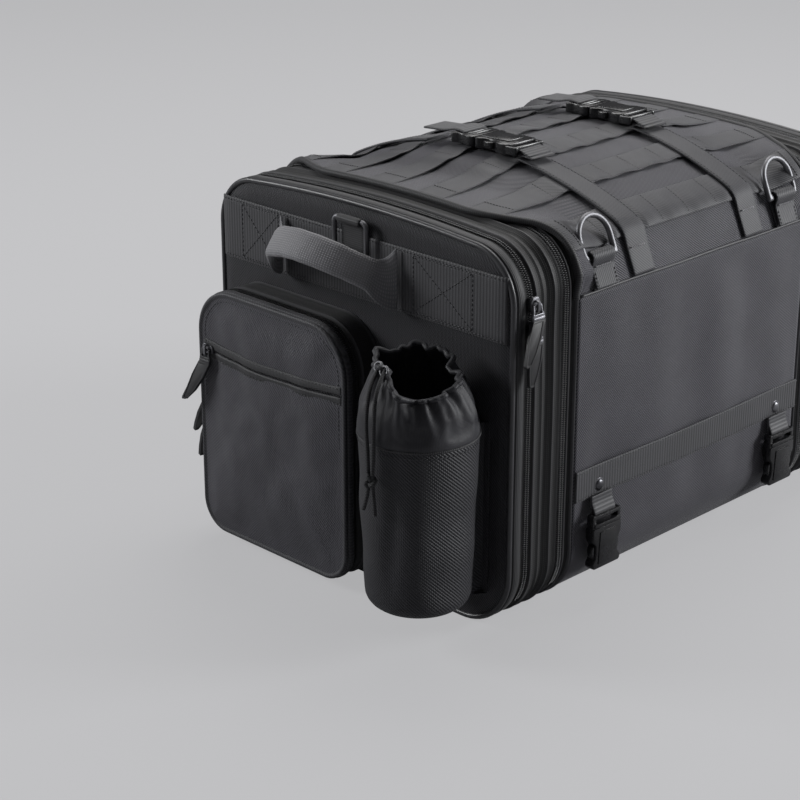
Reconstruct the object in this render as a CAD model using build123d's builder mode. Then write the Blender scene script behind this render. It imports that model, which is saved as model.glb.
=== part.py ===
"""Motorcycle tail bag that expands at both ends, as separate sewn, moulded and metal pieces.

Frame: +X along the bag, +Y across it, +Z up, millimetres.
The origin is on the ground under the middle of the body.
Every piece of an end is drawn at the -X end; the +X end is the same end turned half round.
"""
from build123d import *
import math
import os

os.makedirs("parts", exist_ok=True)

# ---------------------------------------------------------------- driving dimensions
# Body and its end faces
body_length = 420.0           # between the outer faces of the two end panels
body_width = 315.0
bottom_radius = 48.0          # long lower edges and lower corners
end_height = 302.0            # end faces, at the middle
end_arch = 5.0                # how much the top of an end face is bowed
end_corner_radius = 42.0
seam_height = 249.0           # seam between a side and the top
shoulder_in = 15.0            # how far the shoulder stands in from the side
shoulder_height = 283.5
crown_height = 317.0          # top of the body at the middle
shell_end_drop = 11.0         # how much lower the crown is where it meets an end frame
shell_taper = 60.0            # length over which the crown comes down to that
panel_wall = 4.0              # lined and foamed fabric panel

# End sections
end_section = 70.5            # from the outer face to the shell's edge
door_depth = 18.0             # end panel with its rim, out to the door zip
door_plate = 5.0
door_rim_wall = 6.0
piping_radius = 2.2
piping_rounding = 0.9         # share of the radius that its edges are rounded by
frame_wall = 8.0
sleeve_wall = 2.0
sleeve_gap = 1.0              # between the sleeve and the shell around it
expansion = 90.0              # travel of an end section
sleeve_left_inside = 10.0     # sleeve still held by the shell at full travel
gap = 0.3                     # between fabric faces that move past each other
zip_skin = 1.0                # how far a closed zip stands out
door_coil_width = 4.5
expansion_coil_from = 52.5    # expansion zip, from the outer face
expansion_coil_width = 6.5
zip_lowest = 20.0             # the zips end above the lower corners

# Webbing
webbing = 1.8                 # thickness of 25 mm and 50 mm webbing
strap_width = 25.0
band_width = 50.0
band_low = 228.0              # lower edge of the wide band on an end panel
band_end_margin = 5.5         # from the side of the bag to the band's end

# Carry handle: a bow in a plane that tilts up from its two roots
handle_y = 17.0               # middle of the handle across the bag
handle_half_span = 63.0
handle_reach = 40.0
handle_height = 27.0          # width of the folded webbing in the grip
handle_thickness = 7.0
handle_root_height = 5.0      # the bow narrows to this where it turns
handle_tilt = 25.0
handle_pivot_z = 258.0
handle_pivot_out = 3.2        # pivot line from the end panel's face
root_length = 16.0            # length over which the bow narrows

# Rectangular ring in its webbing loop
ring_wire = 2.0               # radius of the wire
ring_width = 38.0
ring_drop = 26.0              # between its top and bottom bars
ring_bar_z = 290.0
ring_corner = 6.5
ring_bar_out = 7.0
loop_width = 24.0
loop_clearance = 0.2
loop_wall = 1.8
loop_tail = 26.0              # webbing below the bar

# Pocket
pocket_y = 59.0
pocket_width = 167.0
pocket_low = 8.0
pocket_height = 206.0
pocket_depth = 37.0
pocket_top_radius = 38.0
pocket_bottom_radius = 25.0
pocket_wall = 2.5
pocket_zip_depth = 26.0       # main zip, from the end panel's face
pocket_hinge_z = 108.0        # the flap opens down to here
pocket_tape = 7.0
pocket_slider_z = 118.0       # upper slider of the main zip
slit_z = 163.0                # slit zip across the flap
slit_slider_in = 12.0         # its slider, from the flap's far edge
slit_tab_lean = 22.0          # how far its tab's tip lies towards the far side
slit_tilt = 8.0
pocket_upper_tilt = 30.0
pocket_lower_tilt = 22.0

# Bottle holder
holder_y = -109.0
holder_radius = 45.0          # at the rim
holder_foot_radius = 41.0
holder_foot_round = 12.0
holder_low = 30.0
holder_rim_z = 165.0
holder_wall = 2.5
holder_back = 44.0            # width sewn to the end panel
hood_rise = 59.0              # hood above the rim
hood_bulge = -0.3             # widest part of the hood over the rim's radius
hood_wall = 1.5
hood_mouth = 14.0             # radius of the gathered mouth

# Drawcord
cord_radius = 1.5
knot_size = (8.6, 11.0, 12.5)

# Zip sliders and pulls
slider_width = 9.0
slider_length = 12.0
slider_thickness = 2.6
slider_corner = 1.8
bridge_length = 8.4
bridge_width = 2.6
bridge_wall = 1.1
pull_bar = 0.9                # radius of the bar that hangs in the bridge
pull_clearance = 0.25
pull_leg = 1.6
pull_leg_length = 9.0
tab_width = 13.0
tab_tip = 5.0
tab_thickness = 2.0
tab_held = 1.0                # length of a tab inside its clip
tab_widest = 0.65             # share of its length down to where a tab starts to taper
tab_bend = 0.6                # share of its lean that a tab has there
clip_over_tab = 0.3           # the clip is this much thicker than the tab, on each face
leg_play = 0.6                # legs clear of the bridge, besides the clearance
door_tab_length = 42.0
pocket_tab_length = 36.0
door_slider_z = 256.0         # upper door slider
slider_pitch = 18.0           # down to the lower one
door_tab_lean = 16.0          # how far a door tab's tip lies towards the end
upper_pull_tilt = 18.0
lower_pull_tilt = 5.0

# Webbing grid and straps on top
grid_edge_near = 2.0          # first strip's edge, outside the near shoulder
grid_edge_far = 12.0          # last strip's edge, inside the far shoulder
grid_count = 6
grid_webbing = 1.5
cross_strap_x = 68.0          # middle of each strap over the top, both ways
buckle_y = -9.0               # middle of the buckles on top

fold_length = 6.0             # folded strap end that holds each socket
fold_height = 5.0

# D-rings
d_ring_x = 112.0
d_ring_wire = 2.25
d_ring_spare = 13.0           # how much wider a ring is than its webbing tab
d_ring_height = 35.0
d_ring_up = 24.0              # bar above the seam, along the slope
d_ring_off = 4.7              # bar off the slope
tab_lift = 0.1

# Side straps and hanging buckles
side_strap_low = 86.0
rivet_z = 94.0
rivet_radius = 4.5
rivet_head = 1.6
hang_pivot_z = 83.0
hang_pivot_off = 4.2          # pivot line off the side
hang_webbing_length = 9.0
hang_webbing_held = 0.5       # length of that webbing inside the buckle

# Side-release buckles
buckle_width = 32.0
buckle_length = 44.0
buckle_thickness = 10.0
socket_width = 22.0
socket_height = 5.6
socket_depth = 26.0
plug_clearance = 0.4
plug_body_length = 24.0
bar_slot = 3.2                # slot for webbing in a buckle's end
bar_slot_in = 3.5
plug_travel = 26.0            # a plug slides out this far
tail_length = 34.0            # strap tail held by a plug
buckle_off = 2.6              # hanging buckle, off the side

# Stiffener board
board_thickness = 2.5
board_margin = 8.0

# ---------------------------------------------------------------- worked out from them
half_length = body_length / 2
half_width = body_width / 2
shell_half = half_length - end_section
door_back = half_length - door_depth
frame_back = shell_half + gap
face = -half_length                       # outer face of the -X end
side = -half_width                        # outer face of the -Y side
slope_rise = shoulder_height - seam_height
d_ring_width = strap_width + d_ring_spare
grid_first_y = side + shoulder_in - grid_edge_near + strap_width / 2
grid_last_y = half_width - shoulder_in - grid_edge_far - strap_width / 2
grid_pitch = (grid_last_y - grid_first_y) / (grid_count - 1)
buckle_low_z = crown_height + grid_webbing + gap      # underside of the buckles on top
shell_stations = (                        # places along the bag, and how much lower the crown is there
    (-shell_half, shell_end_drop),
    (-shell_half + shell_taper, 0.0),
    (shell_half - shell_taper, 0.0),
    (shell_half, shell_end_drop),
)
crown_radius = ((half_width - shoulder_in) ** 2 + (crown_height - shoulder_height) ** 2) / (
    2 * (crown_height - shoulder_height)
)


def save(part, name):
    """Label a finished piece and write it to its own file."""
    part.label = name
    export_step(part, f"parts/{name}.step")


def save_pair(part, name):
    """Write a piece of the -X end, and its half-turned copy at the +X end."""
    save(part, f"{name}_left")
    save(part.rotate(Axis.Z, 180), f"{name}_right")


# ---------------------------------------------------------------- outlines across the bag
def end_outline(x, inset=0.0):
    """Outline of an end face at a place along the bag, drawn in by an inset."""
    half = half_width - inset
    low = bottom_radius - inset
    high = end_corner_radius - inset
    top = end_height - inset
    corner_top = top - end_arch
    with BuildSketch(Plane.YZ.offset(x)) as outline:
        with BuildLine():
            Line((-half + low, inset), (half - low, inset))
            RadiusArc((half - low, inset), (half, inset + low), -low)
            Line((half, inset + low), (half, corner_top - high))
            RadiusArc((half, corner_top - high), (half - high, corner_top), -high)
            ThreePointArc((half - high, corner_top), (0, top), (-half + high, corner_top))
            RadiusArc((-half + high, corner_top), (-half, corner_top - high), -high)
            Line((-half, corner_top - high), (-half, inset + low))
            RadiusArc((-half, inset + low), (-half + low, inset), -low)
        make_face()
    return outline.sketch


def shell_outline(x, inset=0.0, drop=0.0):
    """Outline of the body at a place along the bag: round bottom edges, sloped shoulders, bowed top."""
    half = half_width - inset
    low = bottom_radius - inset
    shoulder = half - shoulder_in
    shoulder_top = shoulder_height - inset - drop / 2
    crown_top = crown_height - inset - drop
    with BuildSketch(Plane.YZ.offset(x)) as outline:
        with BuildLine():
            Line((-half + low, inset), (half - low, inset))
            RadiusArc((half - low, inset), (half, inset + low), -low)
            Line((half, inset + low), (half, seam_height))
            Line((half, seam_height), (shoulder, shoulder_top))
            ThreePointArc((shoulder, shoulder_top), (0, crown_top), (-shoulder, shoulder_top))
            Line((-shoulder, shoulder_top), (-half, seam_height))
            Line((-half, seam_height), (-half, inset + low))
            RadiusArc((-half, inset + low), (-half + low, inset), -low)
        make_face()
    return outline.sketch


def crown_z(y, lift=0.0):
    """Height of the bowed top over a place across the bag, raised square to it."""
    radius = crown_radius + lift
    return crown_height - crown_radius + math.sqrt(radius**2 - y**2)


# ---------------------------------------------------------------- shell
def make_shell():
    """Bottom, two sides and top of the body, with the board on the bottom."""
    outer = [shell_outline(x, 0.0, drop) for x, drop in shell_stations]
    inner = [shell_outline(x, panel_wall, drop) for x, drop in shell_stations]
    bottom_ring = shell_outline(-shell_half) - shell_outline(-shell_half, panel_wall)

    with BuildPart() as top_panel:
        loft(outer, ruled=True)
        loft(inner, ruled=True, mode=Mode.SUBTRACT)
        split(bisect_by=Plane.XY.offset(seam_height), keep=Keep.TOP)
    save(top_panel.part, "top_panel")

    with BuildPart() as bottom_panel:
        extrude(bottom_ring, amount=2 * shell_half)
        split(bisect_by=Plane.XY.offset(bottom_radius), keep=Keep.BOTTOM)
    save(bottom_panel.part, "bottom_panel")

    side_height = seam_height - bottom_radius
    side_middle = bottom_radius + side_height / 2
    for name, direction in (("near_side_panel", -1), ("far_side_panel", 1)):
        with BuildPart() as side_panel:
            with Locations((0, direction * (half_width - panel_wall / 2), side_middle)):
                Box(2 * shell_half, panel_wall, side_height)
        save(side_panel.part, name)

    sleeve_inner_end = shell_half - expansion - sleeve_left_inside
    board_low = panel_wall + sleeve_gap + sleeve_wall + gap
    board_width = body_width - 2 * bottom_radius - 2 * board_margin
    with BuildPart() as base_board:
        with Locations((0, 0, board_low + board_thickness / 2)):
            Box(2 * (shell_half - board_margin), board_width, board_thickness)
        fillet(base_board.edges().filter_by(Axis.Z), board_margin)
        with Locations((0, 0, (panel_wall + board_low) / 2)):
            Box(2 * (sleeve_inner_end - board_margin), board_width, board_low - panel_wall)
    save(base_board.part, "base_board")


# ---------------------------------------------------------------- end panel, frame and sleeve
def make_end_panel():
    """Padded tray that forms the end door, with the piping round its outer edge."""
    rim_start = face + 2 * piping_radius + gap
    plate = end_outline(face, 2 * piping_radius + gap)
    rim = end_outline(rim_start) - end_outline(rim_start, door_rim_wall)
    piping_ring = end_outline(face) - end_outline(face, 2 * piping_radius)
    with BuildPart() as end_panel:
        extrude(plate, amount=door_plate)
        extrude(rim, amount=-door_back - gap - rim_start)
    with BuildPart() as piping:
        extrude(piping_ring, amount=2 * piping_radius)
        fillet(piping.edges(), piping_rounding * piping_radius)
    save_pair(end_panel.part, "end_panel")
    save_pair(piping.part, "piping")


def make_frame():
    """Gusset ring between the door zip and the expansion zip, and the sleeve behind it."""
    frame_ring = end_outline(-door_back) - end_outline(-door_back, frame_wall)
    sleeve_inset = panel_wall + sleeve_gap
    sleeve_ring = shell_outline(-frame_back, sleeve_inset, shell_end_drop) - shell_outline(
        -frame_back, sleeve_inset + sleeve_wall, shell_end_drop
    )
    with BuildPart() as end_frame:
        extrude(frame_ring, amount=door_back - frame_back)
    with BuildPart() as sleeve:
        extrude(sleeve_ring, amount=expansion + sleeve_left_inside)
    save_pair(end_frame.part, "end_frame")
    save_pair(sleeve.part, "expansion_sleeve")


def zip_band(x, width):
    """Closed zip as a thin raised band over the top and down both sides of a frame."""
    ring = end_outline(x, -zip_skin) - end_outline(x)
    with BuildPart() as band:
        extrude(ring, amount=width)
        split(bisect_by=Plane.XY.offset(zip_lowest), keep=Keep.TOP)
    return band.part


def slider_block(bridge_plane=Plane.YZ):
    """Zip slider lying on Z=0, travel along Y, with its bridge standing up in a given plane."""
    inner = 2 * (pull_bar + pull_clearance)
    with BuildPart() as slider:
        with Locations((0, 0, slider_thickness / 2)):
            Box(slider_width, slider_length, slider_thickness)
        fillet(slider.edges().filter_by(Axis.Z), slider_corner)
        with BuildSketch(bridge_plane):
            with Locations((0, slider_thickness)):
                Rectangle(bridge_length, inner + bridge_wall, align=(Align.CENTER, Align.MIN))
                Rectangle(
                    bridge_length - 2 * bridge_wall,
                    inner,
                    align=(Align.CENTER, Align.MIN),
                    mode=Mode.SUBTRACT,
                )
        extrude(amount=bridge_width / 2, both=True)
    return slider.part


def bar_height():
    """Height of a pull's bar over the face that its slider lies on."""
    return slider_thickness + pull_clearance + pull_bar


def pull_blank(tab_length, lean=0.0):
    """Zip pull hanging down -Y from a bar along X through the origin, with a leaf-shaped tab."""
    leg_x = bridge_width / 2 + pull_clearance + pull_leg / 2 + leg_play
    clip_top = -pull_leg_length
    clip_length = tab_width / 2
    tab_top = clip_top - clip_length
    tip = tab_top - tab_length
    taper_from = tab_top - tab_widest * tab_length
    with BuildPart() as pull:
        with Locations(Rotation(0, 90, 0)):
            Cylinder(pull_bar, 2 * leg_x + pull_leg)
        with Locations((-leg_x, clip_top / 2, 0), (leg_x, clip_top / 2, 0)):
            Box(pull_leg, pull_leg_length, 2 * pull_bar)
        with Locations((0, clip_top - clip_length / 2, 0)):
            Box(tab_width, clip_length, tab_thickness + 2 * clip_over_tab)
        with BuildSketch(Plane.XY.offset(-tab_thickness / 2)):
            with BuildLine():
                Polyline(
                    (-tab_width / 2, tab_top + tab_held),
                    (tab_width / 2, tab_top + tab_held),
                    (tab_width / 2 + tab_bend * lean, taper_from),
                    (tab_tip / 2 + lean, tip),
                    (-tab_tip / 2 + lean, tip),
                    (-tab_width / 2 + tab_bend * lean, taper_from),
                    close=True,
                )
            make_face()
        extrude(amount=tab_thickness)
    return pull.part


def make_door_zips():
    """Both zips of an end frame with the upper door slider, the lower slider and the two pulls."""
    coil = zip_band(-door_back + 0.2, door_coil_width)
    expansion_coil = zip_band(face + expansion_coil_from, expansion_coil_width)
    slider_face = side - zip_skin - 0.1
    track_x = -door_back + 0.5
    side_plane = Plane(origin=(track_x, slider_face, door_slider_z), x_dir=(1, 0, 0), z_dir=(0, -1, 0))
    slider = slider_block()
    upper_slider = side_plane.location * slider
    with BuildPart() as zips:
        add([coil, expansion_coil, upper_slider])
    save_pair(zips.part, "frame_zips")

    lower_plane = side_plane.offset(0)
    lower_plane.origin = Vector(track_x, slider_face, door_slider_z - slider_pitch)
    with BuildPart() as lower_slider:
        add(lower_plane.location * slider)
    save_pair(lower_slider.part, "door_slider")

    pulls = (
        ("door_pull_upper", side_plane, upper_pull_tilt),
        ("door_pull_lower", lower_plane, lower_pull_tilt),
    )
    for name, plane, tilt in pulls:
        with BuildPart() as pull:
            add(pull_blank(door_tab_length, -door_tab_lean).rotate(Axis.X, -tilt))
        bar_plane = plane.offset(bar_height())
        save_pair(bar_plane.location * pull.part, name)


# ---------------------------------------------------------------- band, handle and ring
def make_band():
    """Wide webbing across an end panel with the small loop that carries the ring."""
    bar_x = face - ring_bar_out
    tube = ring_wire + loop_clearance + loop_wall
    length = body_width - 2 * band_end_margin
    with BuildPart() as band:
        with Locations((face - webbing / 2, 0, band_low + band_width / 2)):
            Box(webbing, length, band_width)
        with BuildSketch(Plane.XZ.offset(-loop_width / 2)):
            with Locations((bar_x, ring_bar_z)):
                Circle(tube)
            with Locations((face - webbing, ring_bar_z)):
                Rectangle(ring_bar_out - webbing, loop_wall, align=(Align.MAX, Align.CENTER))
            with Locations((face - webbing, ring_bar_z + loop_wall / 2)):
                Rectangle(loop_wall, loop_tail, align=(Align.MAX, Align.MAX))
            with Locations((bar_x, ring_bar_z)):
                Circle(ring_wire + loop_clearance, mode=Mode.SUBTRACT)
        extrude(amount=loop_width)
    save_pair(band.part, "end_band")


def make_ring():
    """Rectangular wire ring hanging from the webbing loop."""
    bar_x = face - ring_bar_out
    outer_height = ring_drop + 2 * ring_wire
    with BuildPart() as ring:
        with BuildSketch(Plane.YZ.offset(bar_x - ring_wire)):
            with Locations((0, ring_bar_z - ring_drop / 2)):
                RectangleRounded(ring_width, outer_height, ring_corner)
                RectangleRounded(
                    ring_width - 4 * ring_wire,
                    outer_height - 4 * ring_wire,
                    ring_corner - 2 * ring_wire,
                    mode=Mode.SUBTRACT,
                )
        extrude(amount=2 * ring_wire)
        fillet(ring.edges(), 0.95 * ring_wire)
    save_pair(ring.part, "handle_ring")


def make_handle():
    """Bowed carry handle, narrow at its two roots, tilted up from the end panel."""
    mid = handle_thickness / 2
    inner_reach = handle_reach - mid
    outer_reach = handle_reach + mid
    inner_span = handle_half_span - mid
    outer_span = handle_half_span + mid
    with BuildPart() as handle:
        with BuildSketch(Plane.XY) as bow:
            with BuildLine():
                ThreePointArc((0, outer_span), (-outer_reach, 0), (0, -outer_span))
                Line((0, -outer_span), (0, -inner_span))
                ThreePointArc((0, -inner_span), (-inner_reach, 0), (0, inner_span))
                Line((0, inner_span), (0, outer_span))
            make_face()
        extrude(amount=handle_height / 2, both=True)
        with BuildSketch(Plane.XZ) as side_view:
            with BuildLine():
                Polyline(
                    (0, handle_root_height / 2),
                    (-root_length, handle_height / 2),
                    (-outer_reach - 1, handle_height / 2),
                    (-outer_reach - 1, -handle_height / 2),
                    (-root_length, -handle_height / 2),
                    (0, -handle_root_height / 2),
                    close=True,
                )
            make_face()
        extrude(amount=body_width, both=True, mode=Mode.INTERSECT)
    pivot = Location((face - handle_pivot_out, handle_y, handle_pivot_z), (0, handle_tilt, 0))
    save_pair(pivot * handle.part, "carry_handle")


# ---------------------------------------------------------------- pocket
def pocket_outline(x, inset=0.0):
    """Outline of the pocket on the end panel: wide round top corners, tighter bottom ones."""
    left = pocket_y - pocket_width / 2 + inset
    right = pocket_y + pocket_width / 2 - inset
    low = pocket_low + inset
    top = pocket_low + pocket_height - inset
    high_round = pocket_top_radius - inset
    low_round = pocket_bottom_radius - inset
    with BuildSketch(Plane.YZ.offset(x)) as outline:
        with BuildLine():
            Line((left + low_round, low), (right - low_round, low))
            RadiusArc((right - low_round, low), (right, low + low_round), -low_round)
            Line((right, low + low_round), (right, top - high_round))
            RadiusArc((right, top - high_round), (right - high_round, top), -high_round)
            Line((right - high_round, top), (left + high_round, top))
            RadiusArc((left + high_round, top), (left, top - high_round), -high_round)
            Line((left, top - high_round), (left, low + low_round))
            RadiusArc((left, low + low_round), (left + low_round, low), -low_round)
        make_face()
    return outline.sketch


def make_pocket():
    """Pocket tray on the end panel, its upper front as a flap, the main zip and the three pulls."""
    front = face - pocket_depth
    zip_x = face - pocket_zip_depth
    far_wall = pocket_y + pocket_width / 2
    outer = pocket_outline(front)
    inner = pocket_outline(front + pocket_wall, pocket_wall)
    body_zone = (zip_x, pocket_hinge_z)
    flap_zone = (zip_x - gap, pocket_hinge_z + gap)

    with BuildPart() as body:
        extrude(outer, amount=pocket_depth)
        extrude(inner, amount=pocket_depth, mode=Mode.SUBTRACT)
        with Locations((body_zone[0], pocket_y, body_zone[1])):
            Box(
                pocket_depth,
                pocket_width + 2,
                pocket_height,
                align=(Align.MAX, Align.CENTER, Align.MIN),
                mode=Mode.SUBTRACT,
            )
    save_pair(body.part, "pocket_body")

    slit_plane = Plane(
        origin=(front - 0.1, far_wall - slit_slider_in, slit_z), x_dir=(0, 0, 1), z_dir=(-1, 0, 0)
    )
    with BuildPart() as flap:
        extrude(outer, amount=pocket_depth)
        extrude(inner, amount=pocket_depth, mode=Mode.SUBTRACT)
        with Locations((flap_zone[0], pocket_y, flap_zone[1])):
            Box(
                pocket_depth,
                pocket_width + 2,
                pocket_height,
                align=(Align.MAX, Align.CENTER, Align.MIN),
                mode=Mode.INTERSECT,
            )
        add(slit_plane.location * slider_block(Plane.XZ))
    save_pair(flap.part, "pocket_flap")

    tape_ring = pocket_outline(zip_x, -zip_skin) - pocket_outline(zip_x)
    slider_x = zip_x + slider_width / 2
    planes = [
        Plane(origin=(slider_x, far_wall + zip_skin + 0.1, height), x_dir=(-1, 0, 0), z_dir=(0, 1, 0))
        for height in (pocket_slider_z, pocket_slider_z - slider_pitch)
    ]
    with BuildPart() as tape:
        extrude(tape_ring, amount=pocket_tape)
        split(bisect_by=Plane.XY.offset(pocket_slider_z - 2 * slider_pitch), keep=Keep.TOP)
    with BuildPart() as pocket_zip:
        add(tape.part)
        add([plane.location * slider_block() for plane in planes])
    save_pair(pocket_zip.part, "pocket_zip")

    tilts = (pocket_upper_tilt, pocket_lower_tilt)
    for name, plane, tilt in zip(("pocket_pull_upper", "pocket_pull_lower"), planes, tilts):
        pull = pull_blank(pocket_tab_length).rotate(Axis.X, -tilt)
        save_pair(plane.offset(bar_height()).location * pull, name)
    slit_bar = slit_plane.offset(bar_height())
    slit_hang = Plane(origin=slit_bar.origin, x_dir=(0, -1, 0), z_dir=(-1, 0, 0))
    slit_pull = pull_blank(pocket_tab_length, -slit_tab_lean).rotate(Axis.X, -slit_tilt)
    save_pair(slit_hang.location * slit_pull, "slit_pull")


# ---------------------------------------------------------------- bottle holder and drawcord
def turned(points, axis_x):
    """Solid turned about the bottle holder's upright axis from points of (radius, height)."""
    with BuildPart() as turning:
        with BuildSketch(Plane.XZ.offset(-holder_y)):
            with BuildLine():
                Polyline([(axis_x + radius, height) for radius, height in points], close=True)
            make_face()
        revolve(axis=Axis((axis_x, holder_y, 0), (0, 0, 1)))
    return turning.part


def make_bottle_holder():
    """Round cup sewn to the end panel by its flat back, with the gathered hood above its rim."""
    axis_x = face - holder_radius
    low = holder_low
    rim = holder_rim_z
    wall = holder_wall
    foot = holder_foot_radius
    foot_round = holder_foot_round
    outside = [(0, low), (foot - foot_round, low), (foot, low + foot_round), (holder_radius, rim), (0, rim)]
    inside = [
        (0, low + wall),
        (foot - foot_round, low + wall),
        (foot - wall, low + foot_round),
        (holder_radius - wall, rim + 1),
        (0, rim + 1),
    ]
    back_depth = holder_radius - math.sqrt(holder_radius**2 - (holder_back / 2) ** 2) + wall / 2
    with BuildPart() as cup:
        add(turned(outside, axis_x))
        with Locations((face, holder_y, low + foot_round)):
            Box(back_depth, holder_back, rim - low - foot_round, align=(Align.MAX, Align.CENTER, Align.MIN))
        add(turned(inside, axis_x), mode=Mode.SUBTRACT)
    save_pair(cup.part, "bottle_holder")

    hood_outline = [
        (holder_radius - 0.4, rim),
        (holder_radius + hood_bulge, rim + 0.35 * hood_rise),
        (0.9 * holder_radius, rim + 0.7 * hood_rise),
        (0.66 * holder_radius, rim + 0.88 * hood_rise),
        (hood_mouth + hood_wall, rim + hood_rise),
    ]
    hood_lining = [(radius - hood_wall, height - 0.3 * hood_wall) for radius, height in hood_outline[1:-1]]
    closed = [(holder_radius - 0.4 - hood_wall, rim)] + hood_lining + [(hood_mouth, rim + hood_rise)]
    with BuildPart() as hood:
        add(turned(hood_outline + closed[::-1], axis_x))
    save_pair(hood.part, "bottle_hood")


# Two strands of the drawcord, from the eyelets in the hood, through the knot, to their bare ends.
# They pass in front of the bottle holder's rim and hang down beside the cup. Each point is its distance
# in front of the holder's axis as a share of the radius, then millimetres across and above the rim.
strand_near = [
    (0.633, 4.5, 52.5),
    (0.844, 1.0, 47.0),
    (1.022, -2.0, 35.5),
    (1.102, -4.6, 17.5),
    (1.093, -3.8, -6.0),
    (1.107, -3.0, -24.0),
    (1.098, -4.2, -37.5),
    (1.124, -6.6, -49.0),
]
strand_far = [
    (0.578, 12.0, 53.0),
    (0.778, 9.5, 48.0),
    (0.969, 6.5, 38.0),
    (1.098, 3.4, 20.0),
    (1.102, 1.6, -4.0),
    (1.107, 0.6, -24.0),
    (1.093, 2.0, -36.5),
    (1.116, 5.4, -47.5),
]
knot_middle = (1.107, -1.2, -24.0)


def by_holder(point):
    """Place of a drawcord point, given from the bottle holder's axis and rim."""
    share, across, above = point
    return (face - (1 + share) * holder_radius, holder_y + across, holder_rim_z + above)


def bend_radii(points):
    """Radius of each bend: 0.45 of its shorter run over the tangent of half the turn."""
    radii = []
    for before, corner, after in zip(points, points[1:], points[2:]):
        run_in = Vector(*corner) - Vector(*before)
        run_out = Vector(*after) - Vector(*corner)
        half_turn = math.radians(run_in.get_angle(run_out) / 2)
        radii.append(0.45 * min(run_in.length, run_out.length) / math.tan(half_turn))
    return radii


def cord_tube(points):
    """Round cord of straight runs joined by tangent bends."""
    radii = bend_radii(points)
    with BuildPart() as tube:
        with BuildLine() as route:
            FilletPolyline(*points, radius=radii)
        with BuildSketch(Plane(origin=route.line @ 0, z_dir=route.line % 0)):
            Circle(cord_radius)
        sweep(path=route.line)
    length = route.wires()[0].length
    expected = math.pi * cord_radius**2 * length
    print("cord: bends", [round(radius, 1) for radius in radii])
    print("cord: length", round(length, 1), "volume share", round(tube.part.volume / expected, 4))
    return tube.part


def make_drawcord():
    """Both strands with the knot that ties them together."""
    strands = [cord_tube([by_holder(point) for point in strand]) for strand in (strand_near, strand_far)]
    with BuildPart() as knot:
        with Locations(by_holder(knot_middle)):
            Box(*knot_size)
        fillet(knot.edges(), 0.45 * knot_size[0])
    with BuildPart() as drawcord:
        add(strands)
        add(knot.part)
    save_pair(drawcord.part, "drawcord")


# ---------------------------------------------------------------- webbing over the top
def top_arc(drop):
    """Radius and centre height of the bowed top where the crown is lower by a drop."""
    rise = crown_height - shoulder_height - drop / 2
    half = half_width - shoulder_in
    radius = (half**2 + rise**2) / (2 * rise)
    return radius, crown_height - drop - radius


def grid_section(x, drop, y):
    """Cross-section of one grid strip lying on the bowed top."""
    radius, centre = top_arc(drop)
    across = (y - strap_width / 2, y, y + strap_width / 2)
    low = [(at, centre + math.sqrt(radius**2 - at**2)) for at in across]
    high = [(at, centre + math.sqrt((radius + grid_webbing) ** 2 - at**2)) for at in across]
    with BuildSketch(Plane.YZ.offset(x)) as section:
        with BuildLine():
            ThreePointArc(*low)
            Line(low[2], high[2])
            ThreePointArc(*high[::-1])
            Line(high[0], low[0])
        make_face()
    return section.sketch


def make_grid():
    """Webbing strips along the bag, sewn over the top."""
    strips = []
    for number in range(grid_count):
        y = grid_first_y + grid_pitch * number
        with BuildPart() as strip:
            loft([grid_section(x, drop, y) for x, drop in shell_stations], ruled=True)
        strips.append(strip.part)
    with BuildPart() as grid:
        add(strips)
    save(grid.part, "grid_webbing")


def make_cross_straps():
    """Two straps over the top, from seam to seam, each stopping short of its buckle's full travel."""
    low = grid_webbing + gap
    high = low + webbing
    buckle_half = (buckle_length + plug_body_length) / 2
    straps = []
    for x in (-cross_strap_x, cross_strap_x):
        start = x - strap_width / 2
        ring = shell_outline(start, -high) - shell_outline(start, -low)
        with BuildPart() as strap:
            extrude(ring, amount=strap_width)
            split(bisect_by=Plane.XY.offset(seam_height), keep=Keep.TOP)
            with Locations((x, buckle_y + plug_travel / 2, crown_height)):
                Box(2 * strap_width, 2 * buckle_half + plug_travel, body_width, mode=Mode.SUBTRACT)
        with BuildPart() as fold:
            with Locations((x, buckle_y - buckle_half, crown_z(buckle_y - buckle_half) + low)):
                Box(strap_width, fold_length, fold_height, align=(Align.CENTER, Align.MAX, Align.MIN))
        straps += [strap.part, fold.part]
    with BuildPart() as cross_straps:
        add(straps)
    save(cross_straps.part, "cross_straps")


# ---------------------------------------------------------------- side-release buckles
def socket_blank():
    """Buckle socket lying on Z=0: webbing bar at Y=0, open end at its far end along +Y."""
    middle = buckle_thickness / 2
    with BuildPart() as socket:
        with Locations((0, buckle_length / 2, middle)):
            Box(buckle_width, buckle_length, buckle_thickness)
        fillet(socket.edges().filter_by(Axis.Z), buckle_width / 8)
        chamfer(socket.faces().sort_by(Axis.Z)[-1].edges(), buckle_thickness / 8)
        with Locations((0, buckle_length - socket_depth / 2, middle)):
            Box(socket_width, socket_depth, socket_height, mode=Mode.SUBTRACT)
        with Locations((0, bar_slot_in + bar_slot / 2, middle)):
            Box(strap_width + 1, bar_slot, 2 * buckle_thickness, mode=Mode.SUBTRACT)
    return socket.part


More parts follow.
